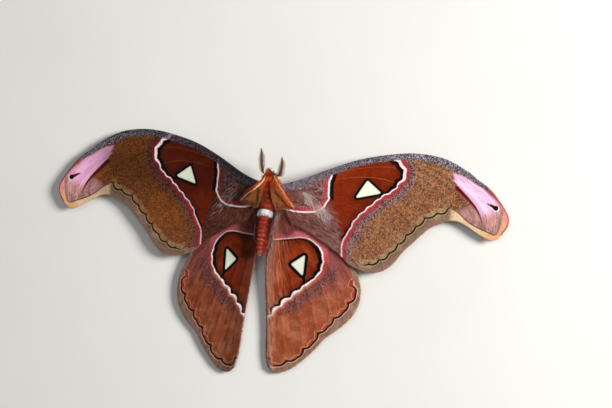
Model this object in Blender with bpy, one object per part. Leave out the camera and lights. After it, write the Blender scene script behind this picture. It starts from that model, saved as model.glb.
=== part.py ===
"""A still, life-size atlas moth resting with its wings spread.

Units are metres. +Z is up, the head looks along +Y and the moth's right wing is on +X.
The moth stands on its six feet, whose soles are flats on z = 0.
Plan positions and lengths below are in millimetres from the middle of the thorax.
"""
import math

import bmesh
import bpy
import numpy as np
from mathutils import Vector

MM = 0.001
GAP = 0.3

# Height of the wings: they slope down from the shoulders and level out above the floor.
SHOULDER = (6.0, 3.0)
SHOULDER_HEIGHT = 16.0
WING_SLOPE = 0.295
WING_DROP = 12.4
HIND_BELOW_FORE = 1.5

# Thickness of the wing membrane and height of the veins over it.
MEMBRANE = 0.52
ROOT_THICKNESS = 0.95
COSTA_THICKNESS = 1.15
VEIN_HEIGHT = 0.28
VEIN_HALF_WIDTH = 0.55

# Each side of the animal differs a little, as it sits in the photo.
FORE_SWEEP = {"right": 2.0, "left": -2.0}
FORE_ARCH = {"right": 0.935, "left": 1.065}
HIND_FAN = {"right": 1.0, "left": -1.0}
HIND_LEAN = 0.5
HIND_LEAN_INNER = 0.8

# Fore wing outline in plan, from the shoulder round the hooked tip to the inner angle.
FORE_COSTA = [
    (6.0, 5.0), (13.0, 7.6), (20.0, 10.7), (30.0, 15.7), (42.0, 20.9), (52.0, 23.9),
    (66.0, 26.6), (77.5, 27.0), (89.0, 25.0), (99.8, 19.7), (106.0, 15.2), (111.5, 11.5),
    (116.2, 6.6), (120.6, 0.7), (122.8, -3.6), (122.6, -7.6), (120.0, -11.8),
]
FORE_OUTER = [
    (120.0, -11.8), (117.3, -14.3), (114.0, -15.2), (108.4, -12.8), (102.6, -9.5),
    (97.4, -7.1), (93.0, -6.9), (88.0, -8.7), (82.3, -11.8), (75.5, -18.4), (69.5, -24.7),
    (65.8, -29.8), (61.0, -33.9), (54.8, -35.8), (48.5, -34.9), (42.6, -32.4), (38.0, -28.0),
]
FORE_INNER = [(6.4, -2.2), (11.3, -12.4), (16.4, -15.7), (21.6, -18.3), (27.0, -21.4), (38.0, -28.0)]
FORE_VEINS = (0.035, 0.11, 0.2, 0.3, 0.41, 0.52, 0.63, 0.745, 0.87)

# Hind wing outline in plan.
HIND_COSTA = [
    (6.4, -3.4), (12.0, -4.4), (20.0, -7.6), (30.0, -13.5), (38.0, -21.5), (43.0, -29.5),
    (46.2, -37.0),
]
HIND_OUTER = [
    (46.2, -37.0), (48.5, -42.0), (49.7, -47.0), (49.6, -53.0), (48.0, -58.5), (44.5, -63.8),
    (39.5, -68.8), (35.0, -72.7), (31.2, -78.0), (27.0, -82.9), (22.3, -87.8), (17.2, -91.0),
    (12.6, -91.7), (9.4, -89.6),
]
HIND_INNER = [
    (6.4, -7.4), (4.8, -13.0), (4.3, -20.0), (3.5, -28.0), (3.3, -36.0), (4.2, -46.0),
    (5.6, -58.0), (6.7, -70.0), (7.6, -82.0), (9.4, -89.6),
]
HIND_VEINS = (0.05, 0.2, 0.33, 0.46, 0.59, 0.72, 0.87)

# Body. Each row is y, half width, height over the middle, depth under it.
THORAX_MIDDLE = (0.2, 11.5)
THORAX_ROWS = [
    (-8.0, 4.6, 3.8, 4.6), (-6.6, 5.5, 4.9, 6.2), (-4.0, 6.1, 5.7, 7.2), (-1.0, 6.3, 6.1, 7.5),
    (2.0, 6.1, 6.0, 7.5), (4.5, 5.3, 5.1, 7.0), (6.2, 4.2, 4.2, 6.0), (7.3, 3.1, 3.4, 4.4),
]
STERNUM = 5.5
ABDOMEN_FRONT = (-1.1, -8.3, 12.0)
ABDOMEN_TIP = (-2.2, -32.0, 11.0)
ABDOMEN_RADII = [(0.0, 3.5), (0.08, 4.0), (0.25, 4.1), (0.5, 3.8), (0.75, 3.4), (0.9, 2.9), (1.0, 2.0)]
ABDOMEN_SEGMENTS = 8
HEAD_MIDDLE = (-0.3, 12.6)
HEAD_ROWS = [(7.6, 2.0, 1.9), (8.2, 2.35, 2.2), (9.3, 2.5, 2.35), (10.4, 2.0, 1.9), (11.2, 1.1, 1.1)]
HEAD_SIDE = 2.0
EYE_RADIUS = 1.3
EYE_DEPTH = 1.05

ANTENNA_LEFT = [
    (-1.6, 9.3, 14.75), (-3.1, 9.5, 15.5), (-4.5, 11.3, 16.1), (-5.1, 16.0, 17.1), (-5.2, 22.1, 18.2),
]
ANTENNA_RIGHT = [
    (1.0, 9.3, 14.75), (2.9, 9.2, 15.4), (4.9, 10.2, 15.9), (5.8, 14.0, 16.6), (6.1, 18.7, 17.4),
]
RAMI_PER_SIDE = 20
RAMUS_LENGTH = 3.7
ANTENNA_SHEET = (-0.15, 0.0, 1.0)

LEG_FORE = [(2.5, 4.2, 5.2), (3.6, 4.9, 4.0), (7.4, 5.6, 5.4), (10.0, 5.2, 1.4), (10.8, 5.0, 0.3),
            (13.2, 4.2, 0.3)]
LEG_MID = [(3.0, 0.0, 5.2), (4.6, -0.1, 3.9), (10.4, -1.4, 5.6), (14.6, -3.0, 1.4), (15.8, -3.5, 0.3),
           (18.8, -4.6, 0.3)]
LEG_HIND = [(2.7, -4.2, 5.2), (4.0, -5.6, 3.9), (8.2, -12.8, 5.2), (11.2, -20.2, 1.4), (11.6, -21.6, 0.3),
            (12.6, -25.4, 0.3)]

COLOURS = {
    "head": (0.42, 0.14, 0.04), "eye": (0.02, 0.015, 0.012), "antenna": (0.2, 0.12, 0.06),
    "palp": (0.4, 0.12, 0.04), "thorax": (0.45, 0.12, 0.03), "tegula": (0.6, 0.24, 0.07),
    "abdomen": (0.42, 0.09, 0.05), "forewing": (0.36, 0.12, 0.05), "hindwing": (0.3, 0.08, 0.04),
    "leg": (0.35, 0.13, 0.05),
}


def clear_scene():
    for item in list(bpy.data.objects):
        bpy.data.objects.remove(item, do_unlink=True)


def material(name, kind):
    mat = bpy.data.materials.new(name)
    mat.use_nodes = True
    shader = mat.node_tree.nodes["Principled BSDF"]
    shader.inputs["Base Color"].default_value = (*COLOURS[kind], 1.0)
    shader.inputs["Roughness"].default_value = 0.25 if kind == "eye" else 0.75
    return mat


def add_object(name, kind, points, faces):
    """Make one closed, triangulated body from points in millimetres."""
    mesh = bpy.data.meshes.new(name)
    mesh.from_pydata([tuple(float(c) * MM for c in p) for p in points], [], faces)
    work = bmesh.new()
    work.from_mesh(mesh)
    bmesh.ops.triangulate(work, faces=[f for f in work.faces if len(f.verts) > 3])
    bmesh.ops.recalc_face_normals(work, faces=work.faces)
    if work.calc_volume(signed=True) < 0:
        bmesh.ops.reverse_faces(work, faces=work.faces)
    work.to_mesh(mesh)
    work.free()
    item = bpy.data.objects.new(name, mesh)
    bpy.context.scene.collection.objects.link(item)
    mesh.materials.append(material(name, kind))
    return item


def spline(points, count, power=1.0):
    """Points spaced evenly by length on a smooth curve through the given ones."""
    pts = np.array(points, float)
    pad = np.vstack([2 * pts[0] - pts[1], pts, 2 * pts[-1] - pts[-2]])
    fine = []
    for i in range(1, len(pad) - 2):
        for t in np.linspace(0, 1, 16, endpoint=False):
            a, b, c, d = pad[i - 1:i + 3]
            fine.append(0.5 * (2 * b + (c - a) * t + (2 * a - 5 * b + 4 * c - d) * t ** 2
                               + (3 * b - a - 3 * c + d) * t ** 3))
    fine.append(pts[-1])
    fine = np.array(fine)
    along = np.r_[0, np.cumsum(np.linalg.norm(np.diff(fine, axis=0), axis=1))]
    where = (1 - (1 - np.linspace(0, 1, count)) ** power) * along[-1]
    return np.column_stack([np.interp(where, along, fine[:, k]) for k in range(pts.shape[1])])


def on_curve(curve, where):
    """Read an evenly spaced curve at fractions of its length."""
    steps = np.linspace(0, 1, len(curve))
    return np.column_stack([np.interp(where, steps, curve[:, k]) for k in range(curve.shape[1])])


def lift(x, y):
    """Height of the middle of the fore wing over the floor."""
    r = np.hypot(np.abs(x) - SHOULDER[0], y - SHOULDER[1])
    return SHOULDER_HEIGHT - WING_DROP * np.tanh(WING_SLOPE * r / WING_DROP)


def thorax_half_width(y, z):
    rows = np.array(THORAX_ROWS)
    width, up, down = (np.interp(y, rows[:, 0], rows[:, k]) for k in (1, 2, 3))
    height = abs(z - THORAX_MIDDLE[1]) / (up if z > THORAX_MIDDLE[1] else down)
    return width * max(0.0, 1 - height ** 2.2) ** (1 / 2.2)


def thorax_top(x, y):
    rows = np.array(THORAX_ROWS)
    width, up = (np.interp(y, rows[:, 0], rows[:, k]) for k in (1, 2))
    part = min(1.0, abs(x - THORAX_MIDDLE[0]) / width)
    return THORAX_MIDDLE[1] + up * max(0.0, 1 - part ** 2.2) ** (1 / 2.2)


def place_fore(plan, side):
    """Turn the shared fore wing plan into this side's own, still as if on +X."""
    out = plan.copy()
    out[..., 1] = np.where(out[..., 1] > 0, out[..., 1] * FORE_ARCH[side], out[..., 1])
    turn = math.radians(FORE_SWEEP[side])
    dx = out[..., 0] - SHOULDER[0]
    dy = out[..., 1] - SHOULDER[1]
    out[..., 0] = SHOULDER[0] + dx * math.cos(turn) - dy * math.sin(turn)
    out[..., 1] = SHOULDER[1] + dx * math.sin(turn) + dy * math.cos(turn)
    return out


def place_hind(plan, side):
    """Open or close the shared hind wing plan for this side."""
    out = plan.copy()
    x, y = plan[..., 0], plan[..., 1]
    ramp = np.clip((-6.0 - y) / 14.0, 0, 1)
    ramp = ramp * ramp * (3 - 2 * ramp) * HIND_FAN[side]
    slow = np.clip((-15.0 - y) / 30.0, 0, 1) * HIND_FAN[side]
    lean = HIND_LEAN + HIND_LEAN_INNER * np.clip((14.0 - x) / 10.0, 0, 1)
    out[..., 0] = x + ramp * (0.097 * x + 0.01 * y - 2.87) - slow * lean
    out[..., 1] = y + ramp * (0.075 * x - 0.024 * y - 1.63)
    return out


def root_line(front_y, back_y, below, side, count=9):
    """The wing's root edge, one gap away from the side of the thorax."""
    sign = 1 if side == "right" else -1
    rows = []
    for y in np.linspace(front_y, back_y, count):
        x = SHOULDER[0]
        for _ in range(12):
            z = float(lift(x, y)) - below
            wide = max(thorax_half_width(y, z - 0.8), thorax_half_width(y, z))
            x = wide + sign * THORAX_MIDDLE[0] + GAP
        rows.append((x, y))
    return np.array(rows)


def wing_patch(root, costa, outer, inner, us, vs):
    """Blend four edges into a plan grid: u runs costa to inner edge, v root to outer edge."""
    edge_c = on_curve(costa, vs)[None, :, :]
    edge_i = on_curve(inner, vs)[None, :, :]
    u = us[:, :, None]
    v = vs[None, :, None]
    flat = us.ravel()
    edge_r = on_curve(root, flat).reshape(*us.shape, 2)
    edge_o = on_curve(outer, flat).reshape(*us.shape, 2)
    corners = (1 - u) * (1 - v) * root[0] + u * (1 - v) * root[-1] + (1 - u) * v * outer[0] + u * v * outer[-1]
    return (1 - u) * edge_c + u * edge_i + (1 - v) * edge_r + v * edge_o - corners


def ray_table(root, costa, outer, inner, veins, vs, between):
    """Fractions u of every ray at every v. Each vein is a crest between two flanks."""
    count = len(vs)
    crest = np.repeat(np.array(veins)[:, None], count, axis=1)
    step = 0.004
    here = wing_patch(root, costa, outer, inner, crest, vs)
    there = wing_patch(root, costa, outer, inner, crest + step, vs)
    reach = np.linalg.norm(there - here, axis=2) / step
    spread = VEIN_HALF_WIDTH / reach
    bounds = np.r_[0.0, veins, 1.0]
    room = 0.3 * np.minimum(bounds[1:-1] - bounds[:-2], bounds[2:] - bounds[1:-1])[:, None]
    spread = np.minimum(spread, room)
    rows, raised = [np.zeros(count)], [False]
    for k in range(len(veins)):
        if k in between:
            rows.append((rows[-1] + crest[k] - spread[k]) / 2)
            raised.append(False)
        rows += [crest[k] - spread[k], crest[k], crest[k] + spread[k]]
        raised += [False, True, False]
    rows += [(rows[-1] + 1) / 2, np.ones(count)]
    raised += [False, False]
    return np.array(rows), np.array(raised)


def build_wing(name, kind, side, root, costa, outer, inner, veins, rows, below, place, between):
    """One membrane as a closed sheet with the main veins raised in its own surface."""
    vs = 1 - (1 - np.linspace(0, 1, rows)) ** 1.15
    us, raised = ray_table(root, costa, outer, inner, veins, vs, between)
    plan = place(wing_patch(root, costa, outer, inner, us, vs), side)
    plan[:, 0, :] = on_curve(root, us[:, 0])
    middle = lift(plan[..., 0], plan[..., 1]) - below
    fade = np.clip(1 - vs, 0, 1)[None, :]
    from_root = np.hypot(plan[..., 0] - root[0][0], plan[..., 1] - root[0][1])
    half = MEMBRANE / 2 + (ROOT_THICKNESS - MEMBRANE) / 2 * np.exp(-from_root / 9.0)
    front = np.exp(-us / 0.045) * np.clip(1.4 * fade, 0, 1)
    half = half + (COSTA_THICKNESS - MEMBRANE) / 2 * front * (0.35 if kind == "hindwing" else 1.0)
    crest = raised[:, None] * VEIN_HEIGHT * (0.25 + 0.75 * fade ** 0.5)
    top = middle + half + crest
    bottom = middle - half - 0.4 * crest
    sign = 1 if side == "right" else -1
    rays, steps = us.shape
    points = []
    for level in (top, bottom):
        for i in range(rays):
            for j in range(steps):
                points.append((sign * plan[i, j, 0], plan[i, j, 1], level[i, j]))
    size = rays * steps
    faces = []
    for i in range(rays - 1):
        for j in range(steps - 1):
            a, b = i * steps + j, (i + 1) * steps + j
            for base in (0, size):
                faces.append((base + a, base + b, base + b + 1))
                faces.append((base + a, base + b + 1, base + a + 1))
    rim = [i * steps for i in range(rays)]
    rim += [(rays - 1) * steps + j for j in range(1, steps)]
    rim += [i * steps + steps - 1 for i in range(rays - 2, -1, -1)]
    rim += [j for j in range(steps - 2, 0, -1)]
    for a, b in zip(rim, rim[1:] + rim[:1]):
        faces.append((a, b, b + size))
        faces.append((a, b + size, a + size))
    return add_object(name, kind, points, faces)


def loft(name, kind, rings):
    """Close a row of equal rings with flat ends."""
    count = len(rings[0])
    points = [p for ring in rings for p in ring]
    faces = []
    for r in range(len(rings) - 1):
        for i in range(count):
            k = (i + 1) % count
            faces.append((r * count + i, r * count + k, (r + 1) * count + k, (r + 1) * count + i))
    last = (len(rings) - 1) * count
    faces.append(tuple(range(count)))
    faces.append(tuple(last + i for i in reversed(range(count))))
    return add_object(name, kind, points, faces)


def superellipse(angle, power=2.2):
    c, s = math.cos(angle), math.sin(angle)
    size = (abs(c) ** power + abs(s) ** power) ** (-1 / power)
    return c * size, s * size


def build_thorax():
    rows = np.array(THORAX_ROWS)
    stops = np.unique(np.r_[rows[:, 0], np.linspace(-8.0, 7.3, 12)])
    rings = []
    for y in stops:
        width, up, down = (np.interp(y, rows[:, 0], rows[:, k]) for k in (1, 2, 3))
        ring = []
        for i in range(24):
            c, s = superellipse(2 * math.pi * (i + 0.5) / 24)
            z = THORAX_MIDDLE[1] + s * (up if s > 0 else down)
            ring.append((THORAX_MIDDLE[0] + c * width, y, max(z, STERNUM)))
        rings.append(ring)
    return loft("thorax", "thorax", rings)


def build_abdomen():
    front, tip = np.array(ABDOMEN_FRONT), np.array(ABDOMEN_TIP)
    table = np.array(ABDOMEN_RADII)
    stops, pinch = [], []
    for k in range(ABDOMEN_SEGMENTS):
        for part, squeeze in ((0.0, 0.93), (0.22, 1.0), (0.75, 1.015)):
            stops.append((k + part) / ABDOMEN_SEGMENTS)
            pinch.append(squeeze if k + part > 0 else 1.0)
    stops.append(1.0)
    pinch.append(1.0)
    rings = []
    for t, squeeze in zip(stops, pinch):
        middle = front + (tip - front) * t
        middle[0] -= 0.35 * math.sin(math.pi * t)
        radius = float(np.interp(t, table[:, 0], table[:, 1])) * squeeze
        ring = []
        for i in range(20):
            a = 2 * math.pi * (i + 0.5) / 20
            ring.append((middle[0] + radius * math.cos(a), middle[1], middle[2] + 0.96 * radius * math.sin(a)))
        rings.append(ring)
    return loft("abdomen", "abdomen", rings)


def build_head():
    rings = []
    for y, width, height in HEAD_ROWS:
        ring = []
        for i in range(20):
            a = 2 * math.pi * (i + 0.5) / 20
            x = min(HEAD_SIDE, max(-HEAD_SIDE, width * math.cos(a)))
            ring.append((HEAD_MIDDLE[0] + x, y, HEAD_MIDDLE[1] + height * math.sin(a)))
        rings.append(ring)
    return loft("head", "head", rings)


def build_eye(side):
    sign = 1 if side == "right" else -1
    base = HEAD_SIDE + GAP
    rings = []
    for part in (0.0, 0.35, 0.66, 0.88, 0.985):
        reach = base + EYE_DEPTH * part
        radius = EYE_RADIUS * math.sqrt(1 - part * part)
        ring = []
        for i in range(16):
            a = 2 * math.pi * i / 16
            ring.append((HEAD_MIDDLE[0] + sign * reach, 9.35 + radius * math.cos(a),
                         HEAD_MIDDLE[1] + 0.1 + radius * math.sin(a)))
        rings.append(ring)
    return loft("eye_" + side, "eye", rings)


def frames_along(path, first_up):
    """Tangent and two cross directions at each point of a path, without twist."""
    tangents = np.gradient(path, axis=0)
    tangents /= np.linalg.norm(tangents, axis=1)[:, None]
    ups = []
    up = np.array(first_up, float)
    for t in tangents:
        up = up - t * (up @ t)
        up /= np.linalg.norm(up)
        ups.append(up.copy())
    return tangents, np.array(ups), np.cross(tangents, np.array(ups))


def build_tube(name, kind, path, radii, sides, floor=None, level_start=False):
    path = np.array(path)
    _, ups, across = frames_along(path, (0.0, 0.0, 1.0) if not level_start else (0.0, 1.0, 0.0))
    rings = []
    for k in range(len(path)):
        ring = []
        for i in range(sides):
            a = 2 * math.pi * (i + 0.5) / sides
            p = path[k] + radii[k] * (math.cos(a) * ups[k] + math.sin(a) * across[k])
            if k == 0 and level_start:
                p[2] = path[0][2]
            if floor is not None:
                p[2] = max(p[2], floor)
            ring.append(tuple(p))
        rings.append(ring)
    return loft(name, kind, rings)


def build_leg(name, points, side):
    sign = 1 if side == "right" else -1
    path = spline([(sign * x, y, z) for x, y, z in points], 17)
    profile = [(0.0, 0.95), (0.12, 0.9), (0.3, 0.8), (0.42, 0.62), (0.6, 0.62), (0.78, 0.5), (1.0, 0.46)]
    table = np.array(profile)
    radii = [float(np.interp(t, table[:, 0], table[:, 1])) for t in np.linspace(0, 1, 17)]
    path[:, 2] = np.maximum(path[:, 2], 0.3)
    return build_tube(name, "leg", path, radii, 8, floor=0.0, level_start=True)


def build_palp(side):
    sign = 1 if side == "right" else -1
    x = HEAD_MIDDLE[0] + sign * 0.62
    path = [(x, 11.5, 12.0), (x + sign * 0.1, 12.3, 11.9), (x + sign * 0.2, 13.1, 12.2), (x + sign * 0.2, 13.7, 12.7)]
    return build_tube("palp_" + side, "palp", path, [0.4, 0.5, 0.42, 0.18], 8)


def build_tegula(side):
    """The shoulder tuft: a thick pad over the wing root with a raised outer ridge."""
    sign = 1 if side == "right" else -1
    inner = spline([(1.5, 7.0), (2.1, 2.0), (3.4, -3.0), (4.8, -7.0)], 13)
    outer = spline([(2.5, 7.3), (5.2, 3.2), (8.8, -0.9), (13.9, -5.3)], 13)
    across = np.linspace(0, 1, 8)
    top, bottom = [], []
    for i, s in enumerate(across):
        for j in range(13):
            x, y = inner[j] * (1 - s) + outer[j] * s
            if j == 12:
                y += (-0.75, 0.1, -0.9, 0.0, -0.9, 0.1, -0.7, 0.0)[i]
            over_wing = float(lift(max(x, 5.3), y)) + 1.42 if x > 3.6 else 0.0
            under = max(thorax_top(sign * x, y) + GAP + 0.15, over_wing)
            edge = min(1.0, 4 * s, 3.2 * (1 - s) + 0.55) * min(1.0, 0.45 + j * 0.3)
            taper = 1.0 if j < 11 else (0.8 if j == 11 else 0.5)
            ridge = 0.5 * math.exp(-((s - 0.86) / 0.12) ** 2)
            bottom.append((sign * x, y, under))
            top.append((sign * x, y, under + (0.5 + 0.6 * edge + ridge) * taper))
    points = top + bottom
    size = len(top)
    steps = 13
    rays = len(across)
    faces = []
    for i in range(rays - 1):
        for j in range(steps - 1):
            a, b = i * steps + j, (i + 1) * steps + j
            for base in (0, size):
                faces.append((base + a, base + b, base + b + 1))
                faces.append((base + a, base + b + 1, base + a + 1))
    rim = [i * steps for i in range(rays)]
    rim += [(rays - 1) * steps + j for j in range(1, steps)]
    rim += [i * steps + steps - 1 for i in range(rays - 2, -1, -1)]
    rim += [j for j in range(steps - 2, 0, -1)]
    for a, b in zip(rim, rim[1:] + rim[:1]):
        faces.append((a, b, b + size))
        faces.append((a, b + size, a + size))
    return add_object("tegula_" + side, "tegula", points, faces)


def build_antenna(side):
    """A feather-like feeler: a six-sided shaft with tapered vanes grown from its two edges."""
    points_in = ANTENNA_RIGHT if side == "right" else ANTENNA_LEFT
    bare = 5
    stations = bare + 2 * RAMI_PER_SIDE + 2
    path = spline(points_in, stations)
    tangents, sheet, normal = frames_along(path, ANTENNA_SHEET)
    points, faces = [], []
    index = []
    for k in range(stations):
        t = k / (stations - 1)
        wide, high, edge = 0.3 - 0.16 * t, 0.32 - 0.17 * t, 0.15 - 0.06 * t
        row = {}
        row["top"] = path[k] + normal[k] * high
        row["low"] = path[k] - normal[k] * high
        row["a_top"] = path[k] + sheet[k] * wide + normal[k] * edge
        row["a_low"] = path[k] + sheet[k] * wide - normal[k] * edge
        row["b_top"] = path[k] - sheet[k] * wide + normal[k] * edge
        row["b_low"] = path[k] - sheet[k] * wide - normal[k] * edge
        spots = {}
        for key, value in row.items():
            spots[key] = len(points)
            points.append(value)
        index.append(spots)
    for k in range(stations - 1):
        one, two = index[k], index[k + 1]
        for edge in ("a", "b"):
            faces.append((one["top"], two["top"], two[edge + "_top"], one[edge + "_top"]))
            faces.append((one["low"], two["low"], two[edge + "_low"], one[edge + "_low"]))
            ring = [one[edge + "_top"], two[edge + "_top"], two[edge + "_low"], one[edge + "_low"]]
            vane = k >= bare and (k - bare) % 2 == 0 and (k - bare) // 2 < RAMI_PER_SIDE
            if not vane:
                faces.append(tuple(ring))
                continue
            t = (k - bare) / (2 * RAMI_PER_SIDE)
            length = RAMUS_LENGTH * (math.sin(math.pi * (0.16 + 0.8 * t)) ** 0.7) + 0.3
            way = sheet[k] if edge == "a" else -sheet[k]
            mid = (points[ring[0]] + points[ring[1]] + points[ring[2]] + points[ring[3]]) / 4
            half_step = np.linalg.norm(path[k + 1] - path[k]) / 2
            for part, thin in ((0.42, 0.7), (0.78, 0.45)):
                centre = mid + way * length * part + tangents[k] * length * 0.42 * part ** 1.6
                centre = centre + normal[k] * 0.12 * length * part ** 2
                grow = tangents[k] * half_step * thin
                thick = normal[k] * 0.14 * thin
                fresh = []
                for corner in (centre - grow + thick, centre + grow + thick,
                               centre + grow - thick, centre - grow - thick):
                    fresh.append(len(points))
                    points.append(corner)
                for i in range(4):
                    j = (i + 1) % 4
                    faces.append((ring[i], ring[j], fresh[j], fresh[i]))
                ring = fresh
            apex = len(points)
            points.append(mid + way * length + tangents[k] * length * 0.42 + normal[k] * 0.12 * length)
            for i in range(4):
                faces.append((ring[i], ring[(i + 1) % 4], apex))
    for spots in (index[0], index[-1]):
        faces.append(tuple(spots[k] for k in ("top", "a_top", "a_low", "low", "b_low", "b_top")))
    return add_object("antenna_" + side, "antenna", points, faces)


def set_on_floor(items):
    """Put the middle of the whole moth's box over the origin and its soles on the floor."""
    corners = np.array([tuple(v.co) for item in items for v in item.data.vertices])
    low, high = corners.min(axis=0), corners.max(axis=0)
    shift = Vector((-(low[0] + high[0]) / 2, -(low[1] + high[1]) / 2, -low[2]))
    for item in items:
        for v in item.data.vertices:
            v.co += shift


def main():
    clear_scene()
    items = [build_thorax(), build_abdomen(), build_head()]
    for side in ("left", "right"):
        fore_root = root_line(4.9, -2.3, 0.0, side)
        hind_root = root_line(-3.2, -7.3, HIND_BELOW_FORE, side)
        fore_costa = spline([tuple(fore_root[0])] + FORE_COSTA[1:], 240)
        fore_inner = spline([tuple(fore_root[-1])] + FORE_INNER[1:], 240)
        hind_costa = spline([tuple(hind_root[0])] + HIND_COSTA[1:], 240)
        hind_inner = spline([tuple(hind_root[-1])] + HIND_INNER[1:], 240)
        items.append(build_wing("forewing_" + side, "forewing", side, fore_root, fore_costa,
                                spline(FORE_OUTER, 240), fore_inner, FORE_VEINS, 20, 0.0,
                                place_fore, (3, 5, 7)))
        items.append(build_wing("hindwing_" + side, "hindwing", side, hind_root, hind_costa,
                                spline(HIND_OUTER, 240), hind_inner, HIND_VEINS, 17,
                                HIND_BELOW_FORE, place_hind, (1, 3, 5)))
        items.append(build_tegula(side))
        items.append(build_antenna(side))
        items.append(build_eye(side))
        items.append(build_palp(side))
        items.append(build_leg("leg_fore_" + side, LEG_FORE, side))
        items.append(build_leg("leg_mid_" + side, LEG_MID, side))
        items.append(build_leg("leg_hind_" + side, LEG_HIND, side))
    set_on_floor(items)


main()
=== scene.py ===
"""The looks of a life-size atlas moth that rests with its wings spread.

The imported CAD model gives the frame. Lengths below are in millimetres in the body's own plan:
x to the moth's right, y to its head and z up, from under the middle of the thorax.
"""
import math

import bpy
import numpy as np
from mathutils import Matrix, Vector
from mathutils.kdtree import KDTree


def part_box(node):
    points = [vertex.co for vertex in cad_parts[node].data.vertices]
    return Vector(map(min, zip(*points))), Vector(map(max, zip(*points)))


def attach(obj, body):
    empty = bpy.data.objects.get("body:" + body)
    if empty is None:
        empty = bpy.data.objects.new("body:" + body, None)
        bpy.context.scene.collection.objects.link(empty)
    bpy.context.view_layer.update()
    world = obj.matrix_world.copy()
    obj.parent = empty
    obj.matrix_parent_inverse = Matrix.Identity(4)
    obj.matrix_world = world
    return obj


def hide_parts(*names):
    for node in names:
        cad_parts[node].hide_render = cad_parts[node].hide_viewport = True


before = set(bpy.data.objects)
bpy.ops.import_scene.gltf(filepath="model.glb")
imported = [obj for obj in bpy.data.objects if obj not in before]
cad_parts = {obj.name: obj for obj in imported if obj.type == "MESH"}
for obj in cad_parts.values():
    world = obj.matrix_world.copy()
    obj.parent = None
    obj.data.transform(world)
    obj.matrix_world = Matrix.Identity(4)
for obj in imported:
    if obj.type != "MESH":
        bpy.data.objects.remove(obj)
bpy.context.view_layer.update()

MM = 0.001
SEED = 7
# How many points a distance is worked out for at once.
CHUNK = 3000
SPOT_CHUNK = 400
rng = np.random.default_rng(SEED)
SIGN = {"left": -1, "right": 1}

# The body's plan in the row frame, read from the thorax: its middle, its back end and its lower side.
THORAX_MIDDLE = (0.2, 11.5)
THORAX_BACK = -8.0
STERNUM = 5.5
thorax_low, thorax_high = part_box("thorax")
SHIFT = np.array([
    (thorax_low.x + thorax_high.x) / 2 / MM - THORAX_MIDDLE[0],
    thorax_low.y / MM - THORAX_BACK,
    thorax_low.z / MM - STERNUM,
])

# The wings' own sizes, as in the CAD source.
SHOULDER = (6.0, 3.0)
SHOULDER_HEIGHT = 16.0
WING_SLOPE = 0.295
WING_DROP = 12.4
HIND_BELOW_FORE = 1.5
FORE_SWEEP = {"right": 2.0, "left": -2.0}
FORE_ARCH = {"right": 0.935, "left": 1.065}
HIND_FAN = {"right": 1.0, "left": -1.0}
HIND_LEAN = 0.5
HIND_LEAN_INNER = 0.8
FORE_COSTA = [
    (6.0, 5.0), (13.0, 7.6), (20.0, 10.7), (30.0, 15.7), (42.0, 20.9), (52.0, 23.9), (66.0, 26.6),
    (77.5, 27.0), (89.0, 25.0), (99.8, 19.7), (106.0, 15.2), (111.5, 11.5), (116.2, 6.6), (120.6, 0.7),
    (122.8, -3.6), (122.6, -7.6), (120.0, -11.8),
]
FORE_OUTER = [
    (120.0, -11.8), (117.3, -14.3), (114.0, -15.2), (108.4, -12.8), (102.6, -9.5), (97.4, -7.1),
    (93.0, -6.9), (88.0, -8.7), (82.3, -11.8), (75.5, -18.4), (69.5, -24.7), (65.8, -29.8),
    (61.0, -33.9), (54.8, -35.8), (48.5, -34.9), (42.6, -32.4), (38.0, -28.0),
]
FORE_INNER = [(6.4, -2.2), (11.3, -12.4), (16.4, -15.7), (21.6, -18.3), (27.0, -21.4), (38.0, -28.0)]
FORE_VEINS = (0.035, 0.11, 0.2, 0.3, 0.41, 0.52, 0.63, 0.745, 0.87)
HIND_COSTA = [
    (6.4, -3.4), (12.0, -4.4), (20.0, -7.6), (30.0, -13.5), (38.0, -21.5), (43.0, -29.5), (46.2, -37.0),
]
HIND_OUTER = [
    (46.2, -37.0), (48.5, -42.0), (49.7, -47.0), (49.6, -53.0), (48.0, -58.5), (44.5, -63.8),
    (39.5, -68.8), (35.0, -72.7), (31.2, -78.0), (27.0, -82.9), (22.3, -87.8), (17.2, -91.0),
    (12.6, -91.7), (9.4, -89.6),
]
HIND_INNER = [
    (6.4, -7.4), (4.8, -13.0), (4.3, -20.0), (3.5, -28.0), (3.3, -36.0), (4.2, -46.0), (5.6, -58.0),
    (6.7, -70.0), (7.6, -82.0), (9.4, -89.6),
]
HIND_VEINS = (0.05, 0.2, 0.33, 0.46, 0.59, 0.72, 0.87)
THORAX_ROWS = [
    (-8.0, 4.6, 3.8, 4.6), (-6.6, 5.5, 4.9, 6.2), (-4.0, 6.1, 5.7, 7.2), (-1.0, 6.3, 6.1, 7.5),
    (2.0, 6.1, 6.0, 7.5), (4.5, 5.3, 5.1, 7.0), (6.2, 4.2, 4.2, 6.0), (7.3, 3.1, 3.4, 4.4),
]

# The wing as it shows: a thin scaled membrane with raised veins and a rounded edge.
SHEET_HALF = 0.13
VEIN_RISE = 0.13
VEIN_FLANK = 0.34
EDGE_HALF = 0.045
EDGE_ROUND = 0.5
PLEAT = 0.1
GRAIN_LINES = 40.0
GRAIN_LENGTH = 9.0
# Points along each edge, steps from root to outer edge, and rays in each field between the veins.
EDGE_POINTS = 240
FORE_STEPS = 210
HIND_STEPS = 180
FORE_RAYS = (5, 8, 9, 9, 9, 9, 9, 9, 9, 9)
HIND_RAYS = (6, 11, 10, 10, 10, 10, 11, 10)
ROOT_TUCK = 0.9

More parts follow.
